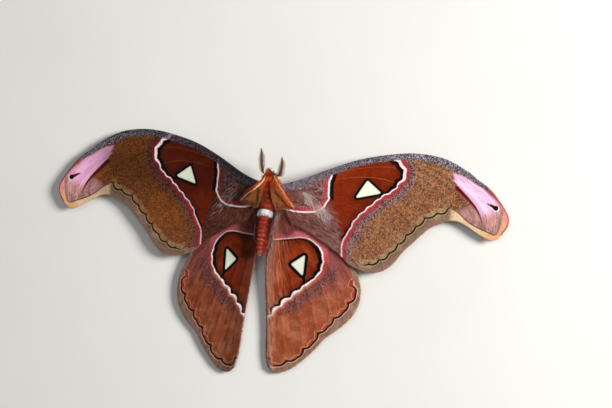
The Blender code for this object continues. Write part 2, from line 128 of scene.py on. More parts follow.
# Lines of the fore wing's pattern, from the front edge to the inner edge.
FORE_ANTEMEDIAL = [
    (31.4, 14.0), (31.0, 11.0), (30.3, 8.5), (30.4, 5.0), (30.5, 1.3), (30.8, -0.4), (29.5, -2.7),
    (28.3, -4.8), (26.5, -6.2), (24.0, -7.4), (20.0, -8.0), (14.0, -8.0), (9.0, -7.0), (3.0, -5.6),
]
FORE_POSTMEDIAL = [
    (58.0, 25.5), (62.0, 23.3), (65.0, 21.0), (67.0, 18.5), (67.7, 16.5), (67.7, 14.0), (66.5, 12.0),
    (64.8, 9.5), (63.8, 7.5), (61.5, 5.5), (58.5, 3.7), (55.8, 1.5), (53.5, -0.8), (51.0, -3.0),
    (48.5, -5.5), (46.0, -8.0), (44.2, -10.2), (43.0, -12.5), (42.0, -15.0), (40.4, -17.7),
    (38.9, -20.5), (38.3, -23.0), (38.3, -25.8), (38.6, -32.0),
]
FORE_SUBMARGINAL = [
    (46.5, -31.4), (52.5, -32.4), (56.0, -31.2), (60.8, -28.5), (64.5, -24.9), (68.7, -20.4),
    (72.6, -15.6), (76.6, -11.6), (80.4, -7.6), (85.0, -5.2), (90.0, -3.2), (93.0, -0.6), (95.0, 3.0),
    (97.0, 8.0),
]
FORE_WINDOW = {
    "right": [(49.3, 11.1), (43.7, 0.9), (57.1, 4.5)], "left": [(47.2, 10.6), (43.1, 1.8), (55.4, 5.1)],
}
COSTAL_BAND = [
    (8, 4.2), (18, 4.2), (30, 3.6), (45, 3.2), (60, 3.3), (75, 3.5), (90, 4.0), (105, 2.6), (114, 1.4),
    (119, 0.6),
]
FORE_WINDOW_TAIL = [(56.0, 4.2), (60.5, 2.4)]
FORE_FOLD = [
    (8.0, -6.4), (20.0, -6.9), (28.5, -3.5), (31.5, -3.8), (33.5, -6.5), (35.7, -10.5), (37.5, -15.5),
    (38.6, -20.5), (39.2, -25.0), (39.6, -31.0),
]
APEX_LILAC = [
    (93.3, 18.6), (99.5, 16.4), (103.9, 14.3), (107.8, 11.9), (110.4, 9.6), (113.1, 6.9), (116.5, 3.8),
    (118.6, 0.5), (118.2, -3.0), (116.0, -7.5), (113.0, -9.0), (110.4, -7.6), (108.5, -4.5),
    (105.0, 1.0), (101.2, 5.0), (97.0, 9.0), (94.3, 13.0),
]
APEX_STREAK = [(95.4, 10.2), (97.6, 8.3), (101.2, 5.0), (105.0, 1.0), (107.6, -2.6), (109.6, -7.0)]
APEX_RIM = [
    (91.5, 0.0), (94.5, -1.4), (98.0, -3.2), (102.0, -6.4), (107.0, -9.0), (111.0, -10.4),
    (114.2, -11.6), (116.8, -12.0), (118.6, -8.0), (119.4, -3.0), (119.4, 1.0), (118.6, 5.0),
]
APEX_LINES = ([(116.3, 0.4), (116.8, -5.0), (116.2, -10.8)], [(110.9, -2.0), (111.8, -6.0), (113.2, -10.2)])
APEX_SPOT = (116.0, 1.0)
APEX_WEDGE = [(116.0, 1.0), (113.4, 2.2), (110.6, 3.4)]

# Lines of the hind wing's pattern.
HIND_LINE = [
    (-3.0, -23.6), (1.0, -23.1), (5.0, -22.6), (10.5, -22.0), (15.0, -21.3), (19.0, -20.9),
    (22.5, -21.5), (25.8, -23.6), (28.2, -26.2), (29.7, -29.5), (30.2, -33.4), (29.4, -38.1),
    (27.3, -41.3), (24.8, -43.8), (22.0, -46.2), (19.5, -48.6), (17.0, -51.0), (14.5, -53.4),
    (12.0, -55.8), (9.8, -58.8), (7.6, -61.6), (5.0, -64.4), (2.0, -67.0),
]
HIND_SUBMARGINAL = [
    (46.0, -43.0), (47.0, -46.5), (47.0, -50.0), (45.6, -53.9), (43.0, -57.5), (39.0, -62.6),
    (35.5, -66.6), (32.6, -70.4), (29.6, -74.7), (26.4, -79.0), (23.2, -82.6), (19.6, -85.4),
    (16.0, -87.1), (13.0, -88.0), (10.5, -87.4), (8.0, -84.6),
]
HIND_WINDOW = [(21.6, -29.5), (14.9, -34.9), (21.4, -41.0)]
HIND_WINDOW_TAIL = [(21.4, -40.0), (22.4, -44.0)]

# sRGB colours, 0 to 255.
FORE_PAINT = {
    "basal": (118, 70, 56), "basal_dark": (66, 38, 32), "basal_grey": (134, 106, 106),
    "fold": (108, 62, 50), "fold_dark": (66, 34, 26), "fold_pale": (152, 108, 98),
    "medial": (116, 32, 6), "medial_light": (150, 56, 18), "medial_dark": (84, 22, 8),
    "line": (196, 106, 58), "red": (164, 54, 50), "white": (246, 220, 220), "black": (14, 8, 8),
    "pink": (172, 58, 62), "dust": (122, 100, 104), "dust_dark": (58, 40, 40),
    "dust_pale": (186, 168, 168), "outer": (150, 90, 48), "outer_light": (190, 134, 88),
    "outer_dark": (78, 46, 30), "lower": (150, 82, 54), "olive": (132, 110, 76),
    "beige": (176, 150, 110), "margin": (126, 100, 74), "margin_light": (172, 142, 116),
    "margin_edge": (144, 112, 98), "costa": (102, 92, 100), "costa_dark": (58, 46, 50),
    "speck": (204, 192, 204), "lilac": (244, 208, 240), "salmon": (232, 152, 140),
    "maroon": (92, 16, 26), "mauve": (196, 142, 142), "cream": (230, 198, 158), "tip": (236, 170, 118),
    "rose": (238, 164, 192), "dusk": (160, 118, 108), "window": (232, 236, 216),
    "window_edge": (204, 210, 186), "under": (170, 126, 100),
}
# Colours that differ by side: the left wing's are darker, as painted shade, and its fold is browner.
FORE_SIDE_PAINT_AND_SHADE = {
    "right": {"fold": (128, 86, 78), "fold_dark": (78, 44, 36), "fold_pale": (176, 138, 130)},
    "left": {
        "fold": (92, 46, 30), "fold_dark": (56, 26, 16), "fold_pale": (140, 96, 76), "outer": (150, 80, 28),
        "outer_light": (176, 100, 40), "outer_dark": (84, 42, 16), "dust": (112, 76, 66),
        "dust_dark": (60, 32, 24), "dust_pale": (150, 116, 96), "olive": (124, 92, 50),
        "lilac": (244, 182, 220),
    },
}
HIND_PAINT = {
    "base": (138, 74, 60), "base_dark": (92, 42, 34), "base_pale": (196, 146, 134),
    "medial": (126, 40, 14), "medial_light": (168, 74, 36), "medial_dark": (78, 22, 8),
    "pink": (180, 62, 66), "stripe": (208, 104, 112), "white": (250, 226, 226), "black": (14, 8, 8),
    "mauve": (148, 80, 80), "grey": (130, 82, 82), "grey_dark": (68, 36, 38), "outer": (158, 79, 48),
    "outer_light": (192, 118, 86), "outer_dark": (106, 42, 26), "salmon": (216, 138, 112),
    "lunule": (176, 44, 40), "lunule_edge": (220, 148, 104), "margin": (156, 126, 102),
    "margin_light": (214, 184, 158), "fold": (186, 150, 136), "window": (232, 236, 216),
    "window_edge": (204, 210, 186), "under": (170, 126, 100),
}


def linear(rgb):
    """An sRGB colour from 0 to 255 as Blender's linear one."""
    out = []
    for c in rgb:
        c = c / 255
        out.append(c / 12.92 if c <= 0.04045 else ((c + 0.055) / 1.055) ** 2.4)
    return (*out, 1.0)


def rgb(name):
    """One of the body's colours as three linear numbers."""
    return np.array(linear(BODY_PAINT[name])[:3])


def row(points):
    """Body plan millimetres to row frame metres."""
    return (np.asarray(points, float) + SHIFT) * MM


def spline(points, count, steps=16):
    """Points spaced evenly by length on a smooth curve through the given ones."""
    pts = np.array(points, float)
    pad = np.vstack([2 * pts[0] - pts[1], pts, 2 * pts[-1] - pts[-2]])
    fine = []
    for i in range(1, len(pad) - 2):
        for t in np.linspace(0, 1, steps, endpoint=False):
            a, b, c, d = pad[i - 1:i + 3]
            fine.append(0.5 * (2 * b + (c - a) * t + (2 * a - 5 * b + 4 * c - d) * t ** 2
                               + (3 * b - a - 3 * c + d) * t ** 3))
    fine.append(pts[-1])
    fine = np.array(fine)
    along = np.r_[0, np.cumsum(np.linalg.norm(np.diff(fine, axis=0), axis=1))]
    where = np.linspace(0, along[-1], count)
    return np.column_stack([np.interp(where, along, fine[:, k]) for k in range(pts.shape[1])])


def on_curve(curve, where):
    steps = np.linspace(0, 1, len(curve))
    return np.column_stack([np.interp(where, steps, curve[:, k]) for k in range(curve.shape[1])])


def smooth(value, low, high):
    t = np.clip((value - low) / (high - low), 0, 1)
    return t * t * (3 - 2 * t)


def lift(x, y):
    """Height of the middle of the fore wing over the floor."""
    r = np.hypot(np.abs(x) - SHOULDER[0], y - SHOULDER[1])
    return SHOULDER_HEIGHT - WING_DROP * np.tanh(WING_SLOPE * r / WING_DROP)


def thorax_half_width(y, z):
    rows = np.array(THORAX_ROWS)
    width, up, down = (np.interp(y, rows[:, 0], rows[:, k]) for k in (1, 2, 3))
    height = abs(z - THORAX_MIDDLE[1]) / (up if z > THORAX_MIDDLE[1] else down)
    return width * max(0.0, 1 - height ** 2.2) ** (1 / 2.2)


def place_fore(plan, side):
    """Turn the shared fore wing plan into this side's own, still as if on +X."""
    out = plan.copy()
    out[..., 1] = np.where(out[..., 1] > 0, out[..., 1] * FORE_ARCH[side], out[..., 1])
    turn = math.radians(FORE_SWEEP[side])
    dx = out[..., 0] - SHOULDER[0]
    dy = out[..., 1] - SHOULDER[1]
    out[..., 0] = SHOULDER[0] + dx * math.cos(turn) - dy * math.sin(turn)
    out[..., 1] = SHOULDER[1] + dx * math.sin(turn) + dy * math.cos(turn)
    return out


def place_hind(plan, side):
    """Open or close the shared hind wing plan for this side."""
    out = plan.copy()
    x, y = plan[..., 0], plan[..., 1]
    ramp = smooth(-y, 6.0, 20.0) * HIND_FAN[side]
    slow = np.clip((-15.0 - y) / 30.0, 0, 1) * HIND_FAN[side]
    lean = HIND_LEAN + HIND_LEAN_INNER * np.clip((14.0 - x) / 10.0, 0, 1)
    out[..., 0] = x + ramp * (0.097 * x + 0.01 * y - 2.87) - slow * lean
    out[..., 1] = y + ramp * (0.075 * x - 0.024 * y - 1.63)
    return out


def root_line(front_y, back_y, below, side, count=9):
    """The wing's root edge, beside the thorax."""
    sign = SIGN[side]
    rows = []
    for y in np.linspace(front_y, back_y, count):
        x = SHOULDER[0]
        for _ in range(12):
            z = float(lift(x, y)) - below
            wide = max(thorax_half_width(y, z - 0.8), thorax_half_width(y, z))
            x = wide + sign * THORAX_MIDDLE[0] + 0.3
        rows.append((x, y))
    return np.array(rows)


def wing_patch(root, costa, outer, inner, us, vs):
    """Blend four edges into a plan grid: u runs costa to inner edge, v root to outer edge."""
    edge_c = on_curve(costa, vs)[None, :, :]
    edge_i = on_curve(inner, vs)[None, :, :]
    u = us[:, :, None]
    v = vs[None, :, None]
    flat = us.ravel()
    edge_r = on_curve(root, flat).reshape(*us.shape, 2)
    edge_o = on_curve(outer, flat).reshape(*us.shape, 2)
    corners = ((1 - u) * (1 - v) * root[0] + u * (1 - v) * root[-1]
               + (1 - u) * v * outer[0] + u * v * outer[-1])
    return (1 - u) * edge_c + u * edge_i + (1 - v) * edge_r + v * edge_o - corners


def line_field(points, curve):
    """Signed distance from each point to a curve, plus on its left going back, and the length along it."""
    a, step = curve[:-1], curve[1:] - curve[:-1]
    size = np.linalg.norm(step, axis=1)
    starts = np.r_[0, np.cumsum(size)[:-1]]
    square = np.maximum(size ** 2, 1e-9)
    away = np.empty(len(points))
    along = np.empty(len(points))
    for begin in range(0, len(points), CHUNK):
        p = points[begin:begin + CHUNK]
        dx = p[:, 0, None] - a[:, 0]
        dy = p[:, 1, None] - a[:, 1]
        t = np.clip((dx * step[:, 0] + dy * step[:, 1]) / square, 0, 1)
        far = (dx - t * step[:, 0]) ** 2 + (dy - t * step[:, 1]) ** 2
        k = far.argmin(axis=1)
        i = np.arange(len(k))
        side = step[k, 0] * dy[i, k] - step[k, 1] * dx[i, k]
        gap = np.sqrt(far[i, k])
        away[begin:begin + CHUNK] = np.where(side >= 0, gap, -gap)
        along[begin:begin + CHUNK] = starts[k] + t[i, k] * size[k]
    return away, along


def shape_field(points, corners, rounding=0.0):
    """Signed distance to a closed shape, below zero inside."""
    ring = np.array(list(corners) + [corners[0]], float)
    far = np.abs(line_field(points, ring)[0])
    inside = np.zeros(len(points), bool)
    for (ax, ay), (bx, by) in zip(ring[:-1], ring[1:]):
        if ay == by:
            continue
        crosses = (points[:, 1] < ay) != (points[:, 1] < by)
        inside ^= crosses & (points[:, 0] < ax + (points[:, 1] - ay) * (bx - ax) / (by - ay))
    return np.where(inside, -far, far) - rounding


def wavy(along, first, wave, height):
    """Scallops along a line: sharp points towards the body, round bays away from it."""
    return height * (np.abs(np.sin(np.pi * (along - first) / wave)) - 0.5)


class Value:
    """A number that a material's nodes work out at each point."""

    def __init__(self, paint, socket):
        self.paint, self.socket = paint, socket

    def maths(self, operation, a, b):
        node = self.paint.node("Math", a, b)
        node.operation = operation
        return Value(self.paint, node.outputs[0])

    def __add__(self, other):
        return self.maths("ADD", self, other)

    def __sub__(self, other):
        return self.maths("SUBTRACT", self, other)

    def __rsub__(self, other):
        return self.maths("SUBTRACT", other, self)

    def __mul__(self, other):
        return self.maths("MULTIPLY", self, other)

    def __abs__(self):
        return self.maths("ABSOLUTE", self, 0.0)

    def ramp(self, low, high):
        """0 below low and 1 over high, or the reverse where low is the larger."""
        ends = (low, high, 0.0, 1.0) if low < high else (high, low, 1.0, 0.0)
        node = self.paint.node("MapRange", self, *ends)
        node.interpolation_type = "SMOOTHSTEP"
        return Value(self.paint, node.outputs["Result"])

    def band(self, low, high, soft=0.15):
        """1 between low and high, with soft edges."""
        return self.ramp(low - soft, low + soft) * self.ramp(high + soft, high - soft)


class Paint:
    """One material's node tree, built up in small steps. Its colours are called by their names."""

    def __init__(self, name, colours=None, **sockets):
        self.material = bpy.data.materials.new(name)
        self.material.use_nodes = True
        self.tree = self.material.node_tree
        self.colours = {key: linear(value) for key, value in (colours or {}).items()}
        self.shader = self.tree.nodes["Principled BSDF"]
        for key, value in sockets.items():
            self.shader.inputs[key.replace("_", " ")].default_value = value
        self.object_place = self.tree.nodes.new("ShaderNodeTexCoord").outputs["Object"]

    def feed(self, socket, value):
        if isinstance(value, Value):
            value = value.socket
        if isinstance(value, bpy.types.NodeSocket):
            self.tree.links.new(value, socket)
        else:
            socket.default_value = self.colours[value] if isinstance(value, str) else value

    def node(self, kind, *values):
        """A new node with its first inputs filled."""
        node = self.tree.nodes.new("ShaderNode" + kind)
        for socket, value in zip(node.inputs, values):
            self.feed(socket, value)
        return node

    def attribute(self, name, output="Fac"):
        node = self.node("Attribute")
        node.attribute_name = name
        return Value(self, node.outputs[output])

    def __getitem__(self, name):
        return self.attribute(name)

    def texture(self, kind, size, place):
        """A texture node whose lumps are about size millimetres across."""
        node = self.node(kind, self.object_place if place is None else place)
        node.inputs["Scale"].default_value = 1 / (size * MM) if place is None else 1 / size
        return node

    def noise(self, size, detail=2.0, place=None):
        node = self.texture("TexNoise", size, place)
        node.inputs["Detail"].default_value = detail
        node.inputs["Roughness"].default_value = 0.55
        return Value(self, node.outputs["Fac"])

    def cells(self, size):
        """A random value for each small cell, for scales that differ one by one."""
        cells = self.texture("TexVoronoi", size, None)
        return Value(self, self.node("SeparateColor", cells.outputs["Color"]).outputs[0])

    def lay(self, colour, *layers):
        """Lay colours over the first one, each by its own mask."""
        for over, mask in layers:
            node = self.tree.nodes.new("ShaderNodeMix")
            node.data_type = "RGBA"
            for k, value in ((0, mask), (6, colour), (7, over)):
                self.feed(node.inputs[k], value)
            colour = Value(self, node.outputs[2])
        return colour

    def bump(self, height, distance, strength=1.0):
        node = self.node("Bump")
        node.inputs["Strength"].default_value = strength
        node.inputs["Distance"].default_value = distance * MM
        self.feed(node.inputs["Height"], height)
        self.tree.links.new(node.outputs["Normal"], self.shader.inputs["Normal"])

    def finish(self, colour, roughness=None):
        self.feed(self.shader.inputs["Base Color"], colour)
        if roughness is not None:
            self.feed(self.shader.inputs["Roughness"], roughness)
        return self.material


def scale_values(p, streak_size, fibre_size):
    """Small random values that the paints of both wings use."""
    grain = p.attribute("grain", "Vector")
    grit, lump = p.noise(0.5, 1.0), p.noise(1.9, 2.0)
    streak, fibre = p.noise(streak_size, 3.0, grain), p.noise(fibre_size, 2.0, grain)
    ragged, lumpy = (grit - 0.5) * 0.8, (lump - 0.5) * 2.4
    return p.cells(0.3), p.cells(0.55), grit, lump, p.noise(6.0, 3.0), streak, fibre, ragged, lumpy


def fore_scales(side):
    """The fore wing's scales and pattern, painted by distance from each named line, with painted shade on the
    left wing.
    """
    p = Paint("fore_wing_scales_" + side, {**FORE_PAINT, **FORE_SIDE_PAINT_AND_SHADE[side]}, Specular_IOR_Level=0.06)
    fine, coarse, grit, lump, cloud, streak, fibre, ragged, lumpy = scale_values(p, 0.8, 0.3)
    am = p["antemedial"] + ragged
    pm = p["postmedial"] + ragged
    sub = p["submarginal"] + ragged * 0.4
    costa = p["costa"] + ragged
    window = p["window"]
    pane = window.ramp(0.08, -0.08)
    vein = p["vein"]

    basal = p.lay("basal",
        ("basal_dark", streak.ramp(0.4, 0.66)), ("basal_dark", fine.ramp(0.55, 0.75) * 0.6),
        ("basal_grey", lump.ramp(0.48, 0.66) * p["frost"]), ("speck", fine.ramp(0.9, 0.96) * p["frost"]))
    medial = p.lay("medial",
        ("medial_light", fibre.ramp(0.45, 0.75) * 0.5), ("medial_light", cloud.ramp(0.45, 0.7) * 0.5),
        ("medial_dark", p["window"].ramp(5.0, 1.5) * 0.5),
        ("medial_dark", p["postmedial"].ramp(-5.0, -1.5) * 0.55),
        ("line", vein.ramp(0.24, 0.08) * p["lit"]), ("black", fine.ramp(0.8, 0.92) * 0.25))
    colour = p.lay(basal, (medial, am.ramp(0.3, 0.7)))

    red = am.band(-2.9, -0.35, 0.5) * p["red"]
    colour = p.lay(colour, ("red", red * fine.ramp(1.2, 0.5)))
    bar = (am + lumpy * 0.2).band(0.3, 2.4, 0.3) * p["bar"]
    colour = p.lay(colour, ("black", bar), ("black", am.band(0.3, 0.8, 0.25) * p["thin"]))
    fold = p.lay("fold",
        ("fold_dark", streak.ramp(0.42, 0.66)), ("fold_pale", fibre.ramp(0.54, 0.7) * 0.6),
        ("basal_grey", lump.ramp(0.52, 0.72) * 0.2))
    reach = p["fold"] + (streak - 0.5) * 5.0
    reach = reach + (fibre - 0.5) * 4.0
    fold_mask = reach.ramp(2.4, -3.0) * am.ramp(0.2, 1.2)
    colour = p.lay(colour, (fold, fold_mask))
    white_line = am.band(-0.5, 0.35, 0.18)
    colour = p.lay(colour, ("white", white_line))

    outer = p.lay("outer",
        ("outer_light", cloud.ramp(0.4, 0.65) * 0.5), ("lower", p["rear"]),
        ("outer_light", p["glow"] * lump.ramp(0.4, 0.6)), ("olive", lump.ramp(0.52, 0.66) * 0.35),
        ("outer_dark", coarse.ramp(0.62, 0.78) * 0.75), ("outer_light", coarse.ramp(0.22, 0.12) * 0.7),
        ("outer_dark", fine.ramp(0.72, 0.84) * 0.7), ("dust_pale", fine.ramp(0.1, 0.06) * 0.5),
        ("outer_dark", vein.ramp(0.35, 0.1) * 0.3), ("outer_dark", streak.ramp(0.5, 0.68) * 0.35))
    dust = p.lay("dust",
        ("dust_dark", coarse.ramp(0.5, 0.62)), ("dust_pale", fine.ramp(0.26, 0.16) * 0.7))
    haze = p["postmedial"] + (cloud - 0.5) * 4.0
    dusted = haze.ramp(9.5, 3.0) * 0.95 + (coarse - 0.5) * 0.7
    outer = p.lay(outer, (dust, dusted.ramp(0.3, 0.85)), ("dust", grit.ramp(0.5, 0.7) * 0.25))
    beyond = pm - p["pale"]
    colour = p.lay(colour, (outer, beyond.ramp(1.3, 2.1)))
    pink = p.lay("pink", ("dust_dark", fine.ramp(0.72, 0.82) * 0.45))
    colour = p.lay(colour,
        (pink, beyond.band(-0.1, 1.5, 0.4)), (pink, beyond.band(1.3, 2.8, 0.8) * coarse.ramp(0.55, 0.35)))
    chalk = (pm + lumpy * 0.12).ramp(-0.35, -0.1) * beyond.ramp(0.2, -0.2)
    # Where the left wing's painted shade may fall: everywhere but the windows, the chalk line and the white
    # line.
    painted_shade_reach = (1 - pane) * ((1 - chalk) * (1 - white_line))
    colour = p.lay(colour, ("white", chalk * p["chalk"]))
    depth = pm + (p["ink"] + lumpy * p["rough"])
    colour = p.lay(colour, ("black", depth.ramp(-0.2, 0.2) * pm.ramp(-0.1, -0.35)))

    patches = sub.band(-2.8, -0.2, 0.5) * p["patches"]
    colour = p.lay(colour, ("beige", patches * fine.ramp(1.0, 0.5)))
    margin = p.lay("margin",
        ("margin_light", cloud.ramp(0.45, 0.75)), ("margin_edge", p["submarginal"].ramp(1.6, 3.2)),
        ("outer_dark", fine.ramp(0.7, 0.8) * 0.35), ("outer_dark", vein.ramp(0.5, 0.15) * 0.3))
    inward = 1 - p["rimmed"]
    colour = p.lay(colour,
        (margin, sub.ramp(0.0, 0.4) * inward),
        ("margin_light", sub.band(0.4, 1.0, 0.25) * (inward * 0.6)),
        ("black", sub.band(-0.5, 0.3, 0.14) * p["inked"]))

    rim = p["rim"]
    streaked = p.lay("mauve", ("dusk", streak.ramp(0.4, 0.6)), ("maroon", fibre.ramp(0.5, 0.66) * 0.4))
    colour = p.lay(colour, (streaked, p["apex"] * coarse.ramp(1.4, 0.6)))
    lilac = p.lay("lilac",
        ("rose", p["lilac"].ramp(-3.0, -0.5) * 0.6), ("mauve", streak.ramp(0.52, 0.66) * 0.5),
        (p.lay(streaked, ("salmon", 0.35)), p["blush"]))
    bounds = p["lilac"] + (streak - 0.5) * p["feather"]
    colour = p.lay(colour, (lilac, (bounds + ragged * 1.6).ramp(0.7, -0.8)))
    border = p.lay("cream",
        ("tip", p["ember"]), ("salmon", p["rosy"]), ("margin", fine.ramp(0.75, 0.85) * 0.4))
    colour = p.lay(colour,
        (border, rim.ramp(-0.1, -0.6) * p["rimmed"]),
        ("maroon", rim.band(-0.45, 0.0, 0.15) * p["rim_ink"]),
        ("maroon", (p["streak"] + ragged * 0.5).ramp(0.25, -0.25)),
        ("maroon", p["wedge"].ramp(0.2, -0.15)))
    nerves = p["nerves"] + (fibre - 0.5) * 0.8
    colour = p.lay(colour,
        ("white", nerves.band(0.4, 0.9, 0.35) * 0.25), ("maroon", nerves.ramp(0.4, 0.0) * 0.6))
    spot = p["spot"]
    colour = p.lay(colour,
        ("white", spot.band(1.2, 1.8, 0.2) * p["crescent"]), ("black", spot.ramp(1.4, 1.15)))

    band = p.lay("costa",
        ("costa_dark", coarse.ramp(0.45, 0.75)), ("costa_dark", fine.ramp(0.7, 0.8) * 0.6),
        ("speck", fine.ramp(0.32, 0.16) * p["hoar"]), ("pink", p["flush"]))
    colour = p.lay(colour, (band, (costa + p["costal"]).ramp(0.45, -0.45)))

    glass = p.lay("window", ("window_edge", window.ramp(-1.0, 0.0)))
    colour = p.lay(colour, ("black", (window + ragged * 0.4).ramp(1.45, 1.15)))
    tail = p["tail"].ramp(0.95, 0.6) * pm.ramp(-0.1, -0.4)
    # Last the black tail, the window glass, the underside's colour and, over the left wing, painted shade.
    colour = p.lay(colour,
        ("black", tail), (glass, pane), ("under", p["under"] * 0.4), ("black", p["shade"] * painted_shade_reach))
    p.bump((fine + fibre * 0.8) * (1 - pane), 0.08)
    return p.finish(colour, 0.74 - pane * 0.22)


def hind_scales(side):
    """The hind wing's scales and pattern, with painted shade on the left wing."""
    p = Paint("hind_wing_scales_" + side, HIND_PAINT, Specular_IOR_Level=0.06)
    fine, coarse, _, _, cloud, streak, fibre, ragged, lumpy = scale_values(p, 0.9, 0.35)
    line = p["line"] + ragged
    sub = p["submarginal"] + ragged * 0.4
    window = p["window"]

    medial = p.lay("medial",
        ("medial_light", fibre.ramp(0.42, 0.75) * 0.4), ("medial_light", cloud.ramp(0.42, 0.65) * 0.55),
        ("medial_dark", p["line"].ramp(-5.0, -1.5) * 0.6),
        ("outer_light", streak.ramp(0.38, 0.62) * p["worn"]), ("black", fine.ramp(0.82, 0.94) * 0.25))

    # The outer field; its dark streaks are stronger on the left wing, partly painted shade.
    outer = p.lay("outer",
        ("outer_light", cloud.ramp(0.4, 0.68) * 0.7), ("mauve", p["broad"] * 0.9),
        ("outer_dark", streak.ramp(0.46, 0.7) * p["grooves"]),
        ("outer_light", fibre.ramp(0.56, 0.74) * 0.3), ("outer_dark", fine.ramp(0.72, 0.84) * 0.35))
    dust = p.lay("grey", ("grey_dark", fine.ramp(0.45, 0.6)), ("base_pale", fine.ramp(0.14, 0.08) * 0.5))
    haze = p["line"] + (cloud - 0.5) * 3.0
    dusted = haze.ramp(1.0, 3.2) * haze.ramp(13.0, 4.5) * p["dusty"]
    dusted = dusted + (coarse - 0.5) * 0.45
    outer = p.lay(outer, (dust, dusted.ramp(0.15, 1.0) * 0.8))
    base = p.lay("base",
        ("base_dark", streak.ramp(0.42, 0.62)), ("base_pale", fibre.ramp(0.52, 0.7) * 0.6))
    outer = p.lay(outer, (base, p["root"]))
    colour = p.lay(medial, (outer, line.ramp(0.2, 1.0)))

    stripe = p["stripe"]
    pink = p.lay("pink", ("stripe", stripe), ("salmon", p["low"]))
    beyond = line - p["pale"]
    girth = beyond - stripe * 1.4
    girth = girth + p["low"] * 0.9
    pink_mask = line.ramp(0.0, 0.4) * girth.ramp(2.4, 1.0)
    colour = p.lay(colour, (pink, pink_mask * fine.ramp(1.25, 0.6)))
    chalk = line.ramp(-0.35, -0.05) * beyond.ramp(0.25, -0.2)
    colour = p.lay(colour, ("white", chalk * p["chalk"]))
    # Where the left wing's painted shade may fall: everywhere but the windows, and less on the white line.
    painted_shade_reach = (1 - window.ramp(0.08, -0.08)) * (1 - chalk * 0.8)
    depth = line + (p["ink"] + lumpy * p["rough"])
    ink = depth.ramp(-0.3, 0.3) * line.ramp(-0.1, -0.35)
    colour = p.lay(colour, ("black", ink * p["inked"]))

    moons = sub + p["moons"]
    inside = sub.ramp(0.1, -0.1)
    fill = moons.ramp(0.1, 0.6) * inside * p["ruby"]
    colour = p.lay(colour, ("lunule", fill * 0.85))
    edge = moons.band(-0.2, 0.2, 0.22) * inside
    colour = p.lay(colour, ("lunule_edge", edge * 0.8))
    margin = p.lay("margin",
        ("margin_light", cloud.ramp(0.5, 0.8)), ("outer_dark", fine.ramp(0.65, 0.8) * 0.35),
        ("mauve", p["submarginal"].band(1.1, 2.2, 0.4) * 0.4),
        ("outer_dark", streak.ramp(0.45, 0.6) * 0.35))
    colour = p.lay(colour,
        (margin, sub.ramp(0.1, 0.45)), ("margin_light", sub.band(0.4, 0.9, 0.2) * 0.7),
        ("black", (abs(sub) + p["nib"]).ramp(0.12, -0.12)))

    fold = p.lay("fold", ("base", streak.ramp(0.4, 0.6)))
    colour = p.lay(colour, (fold, p["hem"] * fibre.ramp(0.7, 0.4)))
    glass = p.lay("window", ("window_edge", window.ramp(-1.0, 0.0)))
    colour = p.lay(colour, ("black", (window + ragged * 0.4).ramp(1.7, 1.35)))
    tail = p["tail"].ramp(0.9, 0.55) * line.ramp(-0.1, -0.4)
    colour = p.lay(colour, ("black", tail))
    pane = window.ramp(0.08, -0.08)
    # Over the left wing, painted shade.
    colour = p.lay(colour, (glass, pane), ("under", p["under"] * 0.4), ("black", p["shade"] * painted_shade_reach))
    p.bump((fine + fibre * 0.8) * (1 - pane), 0.08)
    return p.finish(colour, 0.74 - pane * 0.22)


def add_item(name, data):
    item = bpy.data.objects.new(name, data)
    bpy.context.scene.collection.objects.link(item)
    return item


def make_object(name, points, faces, material):
    """A mesh object from body plan millimetres."""
    mesh = bpy.data.meshes.new(name)
    mesh.from_pydata(row(points).tolist(), [], faces)
    mesh.materials.append(material)
    mesh.validate()
    mesh.shade_smooth()
    return add_item(name, mesh)


def write_attribute(mesh, name, values, kind="FLOAT"):
    layer = mesh.attributes.new(name, kind, "POINT")
    key = "value" if kind == "FLOAT" else "vector"
    layer.data.foreach_set(key, np.ascontiguousarray(values, np.float32).ravel())


def slab_faces(rays, steps, side):
    """Faces of a closed sheet: a grid of points above, the same grid below and a wall round them."""
    size = rays * steps
    i, j = np.meshgrid(np.arange(rays - 1), np.arange(steps - 1), indexing="ij")
    a = (i * steps + j).ravel()
    b = a + steps
    upper = np.column_stack([a, a + 1, b + 1, b])
    lower = np.column_stack([a, b, b + 1, a + 1]) + size
    rim = list(range(0, size, steps)) + [(rays - 1) * steps + k for k in range(1, steps)]
    rim += [k * steps + steps - 1 for k in range(rays - 2, -1, -1)] + list(range(steps - 2, 0, -1))
    rim = np.array(rim)
    after = np.roll(rim, -1)
    wall = np.column_stack([rim, after, after + size, rim + size])
    faces = np.vstack([np.stack([upper, lower], axis=1).reshape(-1, 4), wall])
    return (faces if side == "right" else faces[:, ::-1]).tolist()


def slab_points(x, y, top, bottom):
    return np.column_stack([np.tile(x.ravel(), 2), np.tile(y.ravel(), 2), np.r_[top.ravel(), bottom.ravel()]])


def loft_faces(rings, sides):
    """Faces of a closed tube of rings, with its two end caps last."""
    faces = []
    for r in range(rings - 1):
        for i in range(sides):
            k = (i + 1) % sides
            faces.append((r * sides + i, r * sides + k, (r + 1) * sides + k, (r + 1) * sides + i))
    last = (rings - 1) * sides
    return faces + [tuple(reversed(range(sides))), tuple(last + i for i in range(sides))]


